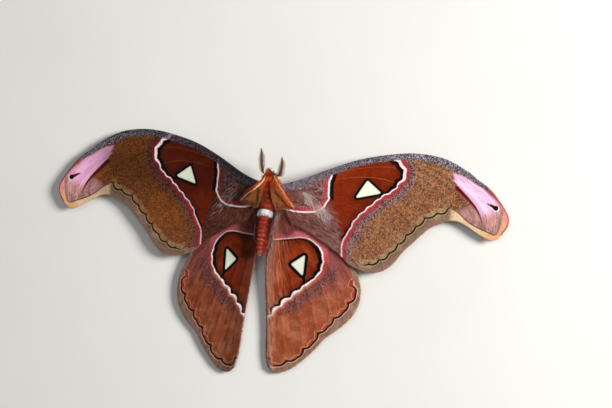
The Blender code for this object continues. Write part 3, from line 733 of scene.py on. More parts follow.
def vein_rays(edges, veins, vs, between):
    """Fractions u of each ray at each v: three for a vein and a few for each field."""
    crest = np.repeat(np.array(veins)[:, None], len(vs), axis=1)
    step = 0.004
    here = wing_patch(*edges, crest, vs)
    there = wing_patch(*edges, crest + step, vs)
    reach = np.linalg.norm(there - here, axis=2) / step
    bounds = np.r_[0.0, veins, 1.0]
    room = 0.3 * np.minimum(bounds[1:-1] - bounds[:-2], bounds[2:] - bounds[1:-1])[:, None]
    spread = np.minimum(VEIN_FLANK / reach, room)
    rows, raised = [np.zeros(len(vs))], [0.0]
    for k in range(len(veins) + 1):
        start = rows[-1]
        stop = crest[k] - spread[k] if k < len(veins) else np.ones(len(vs))
        for t in np.linspace(0, 1, between[k] + 1)[1:]:
            rows.append(start + (stop - start) * t)
            raised.append(0.0)
        if k < len(veins):
            rows += [crest[k], crest[k] + spread[k]]
            raised += [1.0, 0.0]
    return np.array(rows), np.array(raised)


class Sheet:
    """A wing's upper side in body plan millimetres, for hair to grow on."""

    def __init__(self, side, place, shared, top, rays, steps):
        self.side, self.place = side, place
        self.sign = SIGN[side]
        self.shared, self.top = shared, top
        self.rays, self.steps = rays, steps

    def roots(self, spots):
        """Places, normals and unwrap places at spots of the shared plan."""
        near = np.empty(len(spots), int)
        for begin in range(0, len(spots), SPOT_CHUNK):
            part = spots[begin:begin + SPOT_CHUNK]
            far = (part[:, 0, None] - self.shared[:, 0]) ** 2 + (part[:, 1, None] - self.shared[:, 1]) ** 2
            near[begin:begin + SPOT_CHUNK] = far.argmin(axis=1)
        step = self.place(spots, self.side) - self.place(self.shared[near], self.side)
        places = self.top[near].copy()
        places[:, 0] += self.sign * step[:, 0]
        places[:, 1] += step[:, 1]
        x, y = np.abs(places[:, 0]), places[:, 1]
        tilt_x = (lift(x + 0.2, y) - lift(x - 0.2, y)) / 0.4
        tilt_y = (lift(x, y + 0.2) - lift(x, y - 0.2)) / 0.4
        normals = np.column_stack([-self.sign * tilt_x, -tilt_y, np.ones(len(x))])
        normals /= np.linalg.norm(normals, axis=1)[:, None]
        unwrapped = np.column_stack([(near // self.steps) / self.rays, (near % self.steps) / self.steps])
        return places, normals, 0.01 + 0.98 * unwrapped


def make_wing(name, side, edges, veins, between, steps, below, place, fields, material):
    """A closed thin sheet with raised veins that carries its pattern's fields."""
    root, costa, outer, inner = edges
    vs = 1 - (1 - np.linspace(0, 1, steps)) ** 1.1
    us, raised = vein_rays(edges, veins, vs, between)
    shared = wing_patch(root, costa, outer, inner, us, vs)
    plan = place(shared, side)
    plan[:, 0, :] = on_curve(root, us[:, 0])
    sign = SIGN[side]
    rays = len(us)
    fade = np.clip(1 - vs, 0, 1)[None, :]
    flat = shared.reshape(-1, 2)
    costa_far = np.abs(line_field(flat, costa)[0]).reshape(rays, steps)
    inner_far = np.abs(line_field(flat, inner)[0]).reshape(rays, steps)
    outer_far = np.abs(line_field(flat, outer)[0]).reshape(rays, steps)
    vein_u = np.abs(us[:, :, None] - np.array(veins)[None, None, :])
    reach = np.linalg.norm(np.gradient(shared, axis=0), axis=2) / np.maximum(np.gradient(us, axis=0), 1e-6)
    vein_far = vein_u.min(axis=2) * reach
    values = fields(flat, side)
    calm = smooth(values["window"].reshape(rays, steps), 0.5, 3.0)
    pleat = calm * PLEAT * np.cos(np.pi * np.clip(vein_far / (0.05 * reach), 0, 1))
    pleat = pleat * smooth(vs, 0.15, 0.5)[None, :]
    edge_far = np.minimum(np.minimum(costa_far, inner_far), outer_far)
    middle = lift(plan[..., 0], plan[..., 1]) - below + pleat * smooth(edge_far, 0.0, 4.0)
    rod = 0.28 * np.exp(-((costa_far - 0.5) / 0.55) ** 2) * fade ** 0.5 * (1.0 if below == 0 else 0.3)
    root_far = np.hypot(plan[..., 0] - root[0][0], plan[..., 1] - root[0][1])
    half = SHEET_HALF + rod + 0.3 * np.exp(-root_far / 8.0)
    half = EDGE_HALF + (half - EDGE_HALF) * np.sqrt(np.clip(edge_far / EDGE_ROUND, 0, 1))
    crest = calm * raised[:, None] * VEIN_RISE * (0.3 + 0.7 * fade ** 0.5)
    top = middle + half + crest
    bottom = middle - half - 0.5 * crest
    plan[:, 0, 0] -= ROOT_TUCK
    size = rays * steps
    points = slab_points(sign * plan[..., 0], plan[..., 1], top, bottom)
    item = make_object(name, points, slab_faces(rays, steps, side), material)
    mesh = item.data
    values["costa"] = costa_far.ravel()
    values["vein"] = vein_far.ravel()
    for key, value in values.items():
        write_attribute(mesh, key, np.tile(value, 2))
    along = np.linalg.norm(np.diff(shared, axis=1), axis=2).mean(axis=0)
    along = np.r_[0, np.cumsum(along)]
    drawn = np.broadcast_to(along[None, :] / GRAIN_LENGTH, us.shape)
    grain = np.stack([us * GRAIN_LINES, drawn, np.zeros(us.shape)], axis=2)
    write_attribute(mesh, "grain", np.tile(grain.reshape(-1, 3), (2, 1)), "FLOAT_VECTOR")
    write_attribute(mesh, "under", np.r_[np.zeros(size), np.ones(size)])
    return item, Sheet(side, place, flat, points[:size], rays, steps)


def fore_fields(p, side):
    """Distances and soft masks of the fore wing's pattern, in millimetres of the shared plan."""
    x, y = p[:, 0], p[:, 1]
    out = {}
    out["antemedial"], _ = line_field(p, spline(FORE_ANTEMEDIAL, 110))
    post, along = line_field(p, spline(FORE_POSTMEDIAL, 160))
    out["postmedial"] = post + wavy(along, 2.0, 5.2, 0.7) * smooth(y, -24.0, -8.0)
    corner = smooth(y, 1.5, 9.0)
    out["ink"] = 0.75 + 1.3 * corner + 0.5 * smooth(y, -8.0, -14.0) * smooth(y, -24.0, -18.0)
    out["ink"] = out["ink"] - 1.6 * smooth(y, -19.0, -23.0)
    out["rough"] = 0.2 + 0.5 * corner
    out["pale"] = 0.5 + 0.9 * smooth(y, 8.0, 15.0)
    out["chalk"] = 0.75 + 0.25 * smooth(y, -12.0, 6.0)
    sub, along = line_field(p, spline(FORE_SUBMARGINAL, 120))
    arch = np.abs(np.sin(np.pi * (along - 6.5) / 6.35)) ** 0.7
    out["submarginal"] = 1.1 - 1.3 * arch - sub
    out["inked"] = smooth(x, 49.0, 52.5) * smooth(x, 93.0, 92.0)
    out["patches"] = smooth(arch, 0.2, 0.6) * smooth(x, 93.0, 90.0) * (0.65 + 0.3 * np.sin(along / 7.0))
    out["window"] = shape_field(p, shrink(FORE_WINDOW[side], 0.5), 0.5)
    out["tail"] = np.abs(line_field(p, spline(FORE_WINDOW_TAIL, 12))[0])
    out["fold"] = line_field(p, spline(FORE_FOLD, 90))[0]
    out["red"] = smooth(y, -9.5, -7.0) * smooth(y, 12.5, 9.0) * (0.35 + 0.65 * smooth(x, 12.0, 17.0))
    out["bar"] = smooth(y, -1.6, -0.4) * smooth(x, 26.0, 29.0)
    out["thin"] = 0.8 * smooth(x, 24.0, 20.0)
    out["lit"] = 0.06 + 0.6 * smooth(y, 8.0, 13.0)
    out["rear"] = 0.8 * smooth(y, -17.0, -30.0)
    out["frost"] = 0.75 * smooth(x, 8.0, 20.0)
    out["hoar"] = 0.3 + 0.6 * smooth(x, 40.0, 62.0) * smooth(x, 112.0, 96.0)
    out["glow"] = 0.85 * smooth(y, 10.0, 16.0) * smooth(x, 66.0, 74.0)
    out["costal"] = -costal_width(x)
    out["lilac"] = shape_field(p, spline(APEX_LILAC + APEX_LILAC[:1], 90)[:-1])
    out["blush"] = smooth(y - 0.35 * (x - 112.0), 1.5, -5.5)
    out["feather"] = 0.6 + 5.5 * smooth(x, 101.0, 94.0)
    out["flush"] = 0.75 * smooth(x, 109.5, 113.5)
    out["rim"] = line_field(p, spline(APEX_RIM, 90))[0]
    out["spot"] = np.hypot(x - APEX_SPOT[0], y - APEX_SPOT[1])
    streak, along = line_field(p, spline(APEX_STREAK, 60))
    out["streak"] = np.abs(streak) - 1.05 + 0.035 * along
    out["wedge"] = np.abs(line_field(p, spline(APEX_WEDGE, 20))[0]) - 1.1 + 0.16 * out["spot"]
    nerves = [np.abs(line_field(p, spline(line, 30))[0]) for line in APEX_LINES]
    out["nerves"] = np.minimum(*nerves)
    out["crescent"] = smooth(x - APEX_SPOT[0] - 0.6 * (y - APEX_SPOT[1]), 0.0, 0.8)
    out["apex"] = smooth(0.51 * (x - 103.2) - 0.86 * (y - 1.9), -0.8, 0.9)
    out["apex"] = out["apex"] * smooth(y, 12.0, 8.0) * smooth(x, 93.0, 96.0)
    out["rimmed"] = smooth(x, 92.0, 94.5)
    out["rim_ink"] = smooth(x, 95.0, 98.0) * smooth(x, 117.0, 114.5)
    out["ember"] = smooth(x - y, 120.0, 130.0)
    out["rosy"] = smooth(y, -9.0, -5.0) * smooth(x, 113.0, 116.0)
    # Painted shade on the left wing only: deepest towards its front, none at the apex, and a little less over
    # the orange blotches near the front edge.
    out["shade"] = (0.16 + 0.46 * smooth(y, -18.0, 8.0)) * smooth(x, 112.0, 90.0) * (side == "left")
    out["shade"] = out["shade"] * (1 - 0.15 * smooth(y, 13.0, 19.0) * smooth(x, 68.0, 76.0))
    return out


def hind_fields(p, side):
    """Distances and soft masks of the hind wing's pattern."""
    x, y = p[:, 0], p[:, 1]
    out = {}
    line, along = line_field(p, spline(HIND_LINE, 170))
    low = smooth(y, -40.0, -54.0)
    bays = wavy(along, 1.0, 4.9, 0.5) * (1 - low) + wavy(along, 2.0, 6.3, 1.8) * low
    out["line"] = line + bays * smooth(y, -26.0, -31.0)
    turn = smooth(x, 17.0, 25.0) * smooth(y, -44.0, -36.0)
    out["ink"] = 1.2 + 1.0 * turn + 0.3 * low
    out["rough"] = 0.25 + 0.2 * turn
    out["inked"] = np.maximum(0.75 * smooth(x, 4.0, 12.0), smooth(y, -22.0, -26.0)) * smooth(y, -64.5, -60.0)
    scallop = np.abs(np.sin(np.pi * (along - 2.0) / 6.3))
    out["pale"] = 0.4 + 0.2 * smooth(y, -22.0, -27.0) + (0.9 * scallop - 0.2) * low
    out["chalk"] = 0.6 + 0.4 * smooth(y, -22.0, -27.0)
    out["low"] = 0.8 * smooth(y, -38.0, -48.0)
    out["stripe"] = smooth(y, -33.0, -24.0) * smooth(x, 1.0, 20.0)
    out["broad"] = smooth(y, -56.0, -32.0) * smooth(line, 0.5, 4.0)
    out["root"] = smooth(y + 0.35 * x, -17.5, -12.5)
    out["dusty"] = smooth(y, -30.0, -39.0) * smooth(y, -67.0, -56.0)
    sub, along = line_field(p, spline(HIND_SUBMARGINAL, 130))
    arch = np.abs(np.sin(np.pi * (along - 11.6) / 10.6)) ** 0.6
    small = np.abs(np.sin(np.pi * (along - 11.6) / 5.3)) ** 0.8
    out["submarginal"] = sub + 1.2 - 1.5 * arch - 0.5 * small
    arc = np.abs(np.cos(np.pi * (along - 11.6) / 5.45)) ** 0.7
    out["moons"] = 0.6 + 1.6 * arc * (0.7 + 0.3 * smooth(y, -88.0, -60.0))
    out["ruby"] = 0.1 + 0.65 * smooth(y, -70.0, -50.0)
    out["nib"] = 0.6 * smooth(y, -47.0, -43.0) - (0.4 + 0.26 * (1 - arch))
    out["window"] = shape_field(p, shrink(HIND_WINDOW, 0.5), 0.5)
    out["tail"] = np.abs(line_field(p, spline(HIND_WINDOW_TAIL, 12))[0])
    hem = np.abs(line_field(p, spline(HIND_INNER, 90))[0])
    out["hem"] = smooth(hem, 4.5, 0.5) * (0.9 if side == "right" else 0.2)
    # Painted shade on the left wing only, deeper towards its inner edge by the body.
    out["shade"] = (0.33 + 0.22 * smooth(hem, 14.0, 4.0)) * (side == "left")
    # Lighter streaks near the inner edge, strong on the right wing and faint on the left.
    out["worn"] = smooth(hem, 12.0, 3.0) * (0.95 if side == "right" else 0.15)
    # Strength of the dark streaks: the right wing's are the wing's own; the left wing's are twice as strong,
    # partly painted shade.
    out["grooves"] = np.full(len(p), 0.8 if side == "left" else 0.4)
    return out


def costal_width(x):
    """Width of the grey band along the front edge."""
    return np.interp(x, *np.array(COSTAL_BAND).T)


def shrink(corners, by):
    """Corners of a triangle moved in, so that rounding brings its sides back."""
    pts = np.array(corners, float)
    out = []
    for k in range(3):
        a, b, c = pts[k - 1], pts[k], pts[(k + 1) % 3]
        e = (a - b) / np.linalg.norm(a - b)
        f = (c - b) / np.linalg.norm(c - b)
        turn = math.acos(float(np.clip(e @ f, -1, 1)))
        way = (e + f) / np.linalg.norm(e + f)
        out.append(tuple(b + way * min(by / math.sin(turn / 2), 2.6 * by)))
    return out


def wing_edges(root, costa, outer, inner):
    """The wing's four edges as fine curves, two of them from the ends of its root."""
    curves = ([tuple(root[0])] + costa[1:], outer, [tuple(root[-1])] + inner[1:])
    return (root, *(spline(curve, EDGE_POINTS) for curve in curves))


def make_wings():
    made = {}
    for side in SIGN:
        fore_root = root_line(4.9, -2.3, 0.0, side)
        hind_root = root_line(-3.2, -7.3, HIND_BELOW_FORE, side)
        fore_edges = wing_edges(fore_root, FORE_COSTA, FORE_OUTER, FORE_INNER)
        hind_edges = wing_edges(hind_root, HIND_COSTA, HIND_OUTER, HIND_INNER)
        fore, fore_sheet = make_wing("wing_fore_" + side, side, fore_edges, FORE_VEINS, FORE_RAYS,
                                     FORE_STEPS, 0.0, place_fore, fore_fields, fore_scales(side))
        hind, hind_sheet = make_wing("wing_hind_" + side, side, hind_edges, HIND_VEINS, HIND_RAYS,
                                     HIND_STEPS, HIND_BELOW_FORE, place_hind, hind_fields, hind_scales(side))
        for item, node in ((fore, "forewing_" + side), (hind, "hindwing_" + side)):
            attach(item, "root")
            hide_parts(node)
        made[side] = (fore_sheet, hind_sheet)
    return made


# The body's shapes, as in the CAD source.
ABDOMEN_FRONT = (-1.1, -8.3, 12.0)
ABDOMEN_TIP = (-2.2, -32.0, 11.0)
ABDOMEN_RADII = [(0.0, 3.5), (0.08, 4.0), (0.25, 4.1), (0.5, 3.8), (0.75, 3.4), (0.9, 2.9), (1.0, 2.0)]
ABDOMEN_SEGMENTS = 8
HEAD_MIDDLE = (-0.3, 12.6)
HEAD_ROWS = [(7.6, 2.0, 1.9), (8.2, 2.35, 2.2), (9.3, 2.5, 2.35), (10.4, 2.0, 1.9), (11.2, 1.1, 1.1)]
HEAD_SIDE = 2.0
EYE_RADIUS = 1.3
EYE_DEPTH = 1.05
EYE_FORWARD = 9.35
EYE_HEIGHT = HEAD_MIDDLE[1] + 0.1
EYE_CLEAR = 0.15
ANTENNA_LEFT = [
    (-1.6, 9.3, 14.75), (-3.1, 9.5, 15.5), (-4.5, 11.3, 16.1), (-5.1, 16.0, 17.1), (-5.2, 22.1, 18.2),
]
ANTENNA_RIGHT = [(1.0, 9.3, 14.75), (2.9, 9.2, 15.4), (4.9, 10.2, 15.9), (5.8, 14.0, 16.6), (6.1, 18.7, 17.4)]
RAMUS_LENGTH = 3.7
COMB_SHEET = np.array([-0.04, 0.0, 1.0])
LEG_FORE = [(2.5, 4.2, 5.2), (3.6, 4.9, 4.0), (7.4, 5.6, 5.4), (10.0, 5.2, 1.4), (10.8, 5.0, 0.3),
            (13.2, 4.2, 0.3)]
LEG_MID = [(3.0, 0.0, 5.2), (4.6, -0.1, 3.9), (10.4, -1.4, 5.6), (14.6, -3.0, 1.4), (15.8, -3.5, 0.3),
           (18.8, -4.6, 0.3)]
LEG_HIND = [(2.7, -4.2, 5.2), (4.0, -5.6, 3.9), (8.2, -12.8, 5.2), (11.2, -20.2, 1.4), (11.6, -21.6, 0.3),
            (12.6, -25.4, 0.3)]
LEG_RADII = [(0.0, 0.95), (0.12, 0.9), (0.3, 0.8), (0.42, 0.62), (0.6, 0.62), (0.78, 0.5), (1.0, 0.46)]
PALP_LINE = [(0.0, 10.2, 12.0), (0.0, 10.6, 11.9), (0.1, 11.0, 11.75), (0.1, 11.4, 11.7)]
PALP_RADII = [(0, 0.4), (0.3, 0.36), (0.55, 0.44), (0.8, 0.36), (1, 0.16)]
PALP_RINGS = 20
TEGULA_INNER = [(1.5, 7.0), (2.1, 2.0), (3.4, -3.0), (4.8, -7.0)]
TEGULA_OUTER = [(2.5, 7.3), (5.2, 3.2), (8.8, -0.9), (13.9, -5.3)]
TEGULA_RIDGE = 0.86

# The skin lies under the solids by the depth of the coat.
COAT_DEPTH = 0.45
LEG_COAT = 0.14
VOXEL = 0.2
PATCH = 0.003

# Kinds of place on the body.
THORAX, TEGULA, ABDOMEN, HEAD, PALP, LEG = range(6)

BODY_PAINT = {
    "rust": (192, 84, 34), "rust_dark": (120, 42, 20), "centre": (172, 58, 24),
    "ridge": (252, 186, 142), "fringe": (176, 58, 24), "saddle": (164, 98, 52), "rear": (204, 72, 28),
    "collar": (250, 246, 246), "abdomen": (158, 40, 20), "bar": (206, 98, 76), "flank": (60, 16, 8),
    "tip": (172, 112, 90), "brow": (214, 96, 150), "leg": (138, 62, 34), "foot": (90, 46, 30),
    "belly": (160, 88, 56), "antenna": (72, 46, 28), "antenna_edge": (226, 200, 168),
    "claw": (40, 22, 14), "hair_pale": (226, 206, 202), "hair_brown": (132, 78, 58),
    "hair_pink": (184, 98, 92), "hair_dark": (82, 42, 30), "fringe_margin": (160, 130, 100),
    "fringe_inner": (124, 74, 56),
}
# The point over the head that the fur lies towards, the forelock's tip and the pink brow.
APEX = (-2.6, 13.0)
FORELOCK_TIP = (-1.9, 12.7, 14.0)
BROW = (0.2, 9.5)
# The height map of the skin from above: its corner, its cell and its count of cells each way.
GRID_CORNER = -34.0
GRID_CELL = 0.4
GRID_COUNT = 170
CREST_HAIRS = 560
# The pale crest lines on the shoulder lappets, from beside the head to the tips.
CRESTS = {
    "right": [(1.8, 9.6, 15.2), (3.3, 7.4, 15.8), (4.9, 5.5, 16.4), (6.9, 3.5, 16.8), (8.5, 1.5, 16.6),
              (9.8, -0.4, 16.2), (11.2, -2.4, 15.7), (12.9, -3.9, 15.5), (13.9, -5.1, 14.9)],
    "left": [(-2.7, 9.6, 14.8), (-2.6, 8.0, 15.6), (-2.6, 6.6, 17.0), (-3.2, 4.9, 18.1), (-4.3, 3.2, 19.1),
             (-6.1, 1.3, 19.1), (-8.6, -0.4, 18.1), (-11.4, -2.4, 15.9), (-13.6, -4.2, 14.8)],
}
# How many tufts hang at each crest, and how far in and out from it they start.
CREST_FRINGE = {"right": (2600, -2.2, 0.15), "left": (1900, -0.2, 1.0)}


def thorax_top(x, y):
    rows = np.array(THORAX_ROWS)
    width, up = np.interp(y, rows[:, 0], rows[:, 1]), np.interp(y, rows[:, 0], rows[:, 2])
    inside = np.clip(1 - (np.abs(x - THORAX_MIDDLE[0]) / width) ** 2.2, 0, 1)
    return THORAX_MIDDLE[1] + up * inside ** (1 / 2.2)


def frames_along(path, first_up):
    """Tangent and two cross directions at each point of a path, without twist."""
    tangents = np.gradient(path, axis=0)
    tangents /= np.linalg.norm(tangents, axis=1)[:, None]
    ups = []
    up = np.array(first_up, float)
    for t in tangents:
        up = up - t * (up @ t)
        up /= np.linalg.norm(up)
        ups.append(up.copy())
    return tangents, np.array(ups), np.cross(tangents, np.array(ups))


def tube_rings(path, radii, sides, first_up=(0.0, 0.0, 1.0)):
    """A ring of points round each point of a path, and the path's tangents."""
    tangents, ups, across = frames_along(path, first_up)
    turn = 2 * np.pi * np.arange(sides) / sides
    rings = []
    for middle, radius, up, side in zip(path, radii, ups, across):
        rings.append(middle + radius * (np.cos(turn)[:, None] * up + np.sin(turn)[:, None] * side))
    return rings, tangents


class Flesh:
    """Closed shapes to be joined, each point with its kind and the way that hair lies there."""

    def __init__(self):
        self.points, self.faces, self.kinds, self.lies = [], [], [], []
        self.size = 0

    def add(self, points, faces, kind, lies):
        self.points.append(np.asarray(points, float))
        self.faces += [tuple(i + self.size for i in face) for face in faces]
        self.kinds.append(np.full(len(points), kind))
        self.lies.append(np.asarray(lies, float))
        self.size += len(points)

    def loft(self, rings, kind, lies):
        """Rings of equal length, with one hair direction for each ring."""
        sides = len(rings[0])
        lies = np.repeat(np.asarray(lies, float), sides, axis=0)
        self.add(np.vstack(rings), loft_faces(len(rings), sides), kind, lies)

    def tube(self, path, radii, kind, sides=14, first_up=(0.0, 0.0, 1.0), floor=None):
        rings, tangents = tube_rings(path, radii, sides, first_up)
        for ring in rings if floor is not None else ():
            ring[:, 2] = np.maximum(ring[:, 2], floor)
        self.loft(rings, kind, tangents)


def ellipse_ring(middle, y, width, up, down, power=2.0, count=40, lowest=None):
    turn = 2 * np.pi * np.arange(count) / count
    c, d = np.cos(turn), np.sin(turn)
    size = (np.abs(c) ** power + np.abs(d) ** power) ** (-1 / power)
    z = middle[1] + d * size * np.where(d > 0, up, down)
    if lowest is not None:
        z = np.maximum(z, lowest)
    return np.column_stack([middle[0] + c * size * width, np.full(count, y), z])


def leg_path(points, side):
    sign = SIGN[side]
    path = spline([(sign * x, y, z) for x, y, z in points], 60)
    path[:, 2] = np.maximum(path[:, 2], 0.34)
    return np.vstack([path[0] + (0.0, 0.0, 1.4), path])


def add_tegula(flesh, side):
    sign = SIGN[side]
    steps, rays = 40, 26
    inner, outer = spline(TEGULA_INNER, steps), spline(TEGULA_OUTER, steps)
    s, t = np.meshgrid(np.linspace(0, 1, rays), np.linspace(0, 1, steps), indexing="ij")
    plan = inner[None] * (1 - s[..., None]) + outer[None] * s[..., None]
    x, y = plan[..., 0], plan[..., 1]
    over_wing = np.where(x > 3.6, lift(np.maximum(x, 5.3), y) + 1.42, 0.0)
    base = np.maximum(thorax_top(sign * x, y) + 0.45, over_wing)
    edge = np.minimum(np.minimum(1.0, 4 * s), 3.2 * (1 - s) + 0.55) * np.minimum(1.0, 0.45 + t * 3.6)
    ridge = 0.5 * np.exp(-((s - TEGULA_RIDGE) / 0.12) ** 2)
    taper = 1 - 0.6 * smooth(t, 0.88, 1.0)
    top = base + np.maximum((0.5 + 0.6 * edge + ridge) * taper - 0.3, 0.24)
    bottom = np.where(over_wing > thorax_top(sign * x, y) + 0.45, base - 0.12, base - 1.4)
    way = np.gradient(plan, axis=1)
    lies = np.column_stack([sign * way[..., 0].ravel(), way[..., 1].ravel(), np.zeros(rays * steps)])
    points = slab_points(sign * x, y, top, bottom)
    flesh.add(points, slab_faces(rays, steps, side), TEGULA, np.vstack([lies, lies]))


def gather_flesh():
    flesh = Flesh()
    rows = np.array(THORAX_ROWS)
    rings = []
    for y in np.linspace(THORAX_ROWS[0][0], THORAX_ROWS[-1][0], 34):
        width, up, down = (np.interp(y, rows[:, 0], rows[:, k]) - COAT_DEPTH for k in (1, 2, 3))
        rings.append(ellipse_ring(THORAX_MIDDLE, y, width, up, down, 2.2, 48, STERNUM + 0.3))
    flesh.loft(rings[::-1], THORAX, [(0, -1, 0)] * len(rings))

    table = np.array(ABDOMEN_RADII)
    front, tip = np.array(ABDOMEN_FRONT), np.array(ABDOMEN_TIP)
    rings = [ellipse_ring((front[0], front[2]), -6.6, 2.6, 2.5, 2.5)]
    for t in np.linspace(0, 1, 8 * ABDOMEN_SEGMENTS + 1):
        middle = front + (tip - front) * t
        middle[0] -= 0.35 * math.sin(math.pi * t)
        part = (t * ABDOMEN_SEGMENTS) % 1
        pinch = 1 - 0.07 * math.exp(-part / 0.12) - 0.03 * math.exp(-(1 - part) / 0.08)
        radius = (float(np.interp(t, table[:, 0], table[:, 1])) - COAT_DEPTH) * pinch
        rings.append(ellipse_ring((middle[0], middle[2]), middle[1], radius, 0.96 * radius, 0.96 * radius))
    rings.append(ellipse_ring((tip[0], tip[2]), tip[1] - 0.3, 0.5, 0.5, 0.5))
    flesh.loft(rings, ABDOMEN, [(0, -1, 0)] * len(rings))

    rings = [ellipse_ring(HEAD_MIDDLE, 6.2, 1.7, 1.6, 1.6)]
    table = np.array(HEAD_ROWS)
    for y in np.linspace(HEAD_ROWS[0][0], HEAD_ROWS[-1][0], 14):
        slim = 0.4 * smooth(y, 9.4, 10.6)
        width, high = (np.interp(y, table[:, 0], table[:, k]) - 0.2 - slim for k in (1, 2))
        middle = (HEAD_MIDDLE[0] - 0.6 * smooth(y, 9.4, 11.0), HEAD_MIDDLE[1])
        ring = ellipse_ring(middle, y, width, high, high)
        ring[:, 0] = np.clip(ring[:, 0], HEAD_MIDDLE[0] - HEAD_SIDE, HEAD_MIDDLE[0] + HEAD_SIDE)
        rings.append(ring)
    rings.append(ellipse_ring(middle, 11.5, 0.4, 0.4, 0.4))
    flesh.loft(rings[::-1], HEAD, [(0, 1, 0.1)] * len(rings))

    for side, sign in SIGN.items():
        add_tegula(flesh, side)
        for points in (LEG_FORE, LEG_MID, LEG_HIND):
            path = leg_path(points, side)
            where = np.r_[0, np.linspace(0, 1, len(path) - 1)]
            radii = np.interp(where, *np.array(LEG_RADII).T) - LEG_COAT
            joints = 1 - 0.22 * np.exp(-((where - 0.4) / 0.02) ** 2)
            joints = joints - 0.2 * np.exp(-((where - 0.15) / 0.02) ** 2)
            beads = np.where(where > 0.76, 0.82 + 0.18 * np.abs(np.sin(np.pi * (where - 0.76) / 0.048)), 1.0)
            flesh.tube(path, radii * joints * beads, LEG, 14, (0.0, 1.0, 0.0), 0.02)
        x = HEAD_MIDDLE[0] + sign * 0.62
        path = spline([(x + sign * aside, y, z) for aside, y, z in PALP_LINE], PALP_RINGS)
        radii = np.interp(np.linspace(0, 1, PALP_RINGS), *np.array(PALP_RADII).T)
        flesh.tube(path, radii, PALP)
    return flesh


def brow_mask(p):
    return smooth(np.hypot(p[:, 0] - BROW[0], p[:, 1] - BROW[1]), 0.8, 0.3) * 0.8


def coat_colour(p, kind):
    """The body's markings at points in plan millimetres, as linear colours. Skin and coat share it."""
    x, y, z = p.T
    out = np.tile(rgb("rust"), (len(p), 1))

    def lay(colour, mask):
        out[:] = out + (rgb(colour) - out) * np.clip(mask, 0, 1)[:, None]

    middle = np.abs(x - THORAX_MIDDLE[0])
    trunk = ((kind == THORAX) | (kind == TEGULA)) & (z > 8)
    lay("belly", (kind == THORAX) * smooth(z, 11.0, 8.0))
    lay("saddle", trunk * smooth(middle, 1.4, 3.0) * smooth(z, 9.0, 12.0))
    lay("centre", trunk * smooth(middle, 2.4, 1.0))
    lay("rust_dark", trunk * smooth(middle, 2.6, 1.2) * smooth(y, 3.5, 0.5) * smooth(y, -5.5, -3.0) * 0.8)
    lay("rear", trunk * smooth(middle + 0.9 * y, -1.6, -3.2) * smooth(y, -3.0, -5.0))
    for side, sign in SIGN.items():
        far, _ = line_field(p[:, :2], spline(CRESTS[side], 60)[:, :2])
        here = trunk * (sign * x > 0.5)
        lay("fringe", here * smooth(far * sign, 0.0, 0.4))
        strength = 0.8 if side == "right" else 0.15
        lay("rear", here * smooth(far * sign, -2.6, -1.0) * smooth(y, 8.0, 5.0) * strength)

    back = kind == ABDOMEN
    t = (y - ABDOMEN_FRONT[1]) / (ABDOMEN_TIP[1] - ABDOMEN_FRONT[1])
    offset = np.abs(x - np.interp(t, [0, 1], [ABDOMEN_FRONT[0], ABDOMEN_TIP[0]]))
    lay("abdomen", back * 1.0)
    wave = np.cos(2 * np.pi * (11 * t + 0.03 * np.sin(3 * x)))
    across = smooth(offset, 2.6, 1.2) * smooth(z, 12.0, 14.0)
    lay("bar", back * smooth(wave, -0.2, 0.7) * across * (0.25 + 0.55 * smooth(t, 0.2, 0.8)))
    lay("rust_dark", back * smooth(wave, -0.45, -0.95) * across * 0.75)
    lay("flank", back * smooth(offset, 2.2, 3.0) * smooth(z, 9.0, 11.5))
    lay("tip", back * smooth(t, 0.84, 0.97) * smooth(offset, 2.4, 1.6))
    lay("belly", back * smooth(z, 10.5, 8.5))
    ragged = smooth(y + 0.3 * np.sin(4 * x), -11.3, -10.6)
    lay("collar", back * smooth(y, -7.2, -7.8) * ragged * smooth(z, 11.5, 13.2))
    lay("rear", (kind == THORAX) * smooth(y, -6.5, -7.4) * smooth(z, 10.0, 12.0) * smooth(middle, 4.6, 3.4))

    lay("rust_dark", (kind == HEAD) * smooth(z, 12.6, 11.6))
    lay("brow", (kind == HEAD) * brow_mask(p) * smooth(z, 12.6, 13.4))
    lay("leg", kind == LEG)
    lay("foot", (kind == LEG) * smooth(z, 1.8, 0.8))
    return out


def coat_material(name, gloss=0.0):
    """Scales and hair of the body, tinted by the markings."""
    p = Paint(name, Sheen_Weight=0.04, Sheen_Roughness=0.5, Specular_IOR_Level=0.12)
    tint = p.attribute("tint", "Color")
    fine = p.noise(0.35, 3.0)
    broad = p.noise(2.4, 2.0)
    colour = p.lay(tint,
        ((0.02, 0.008, 0.004, 1.0), fine.ramp(0.6, 0.35) * 0.25),
        ((0.5, 0.14, 0.03, 1.0), broad.ramp(0.5, 0.8) * 0.12))
    p.bump(fine, 0.06)
    return p.finish(colour, 0.72 - fine * (0.2 + gloss))


def write_tint(mesh, colours):
    layer = mesh.color_attributes.new("tint", "FLOAT_COLOR", "POINT")
    rgba = np.ones((len(colours), 4), np.float32)
    rgba[:, :3] = colours
    layer.data.foreach_set("color", rgba.ravel())


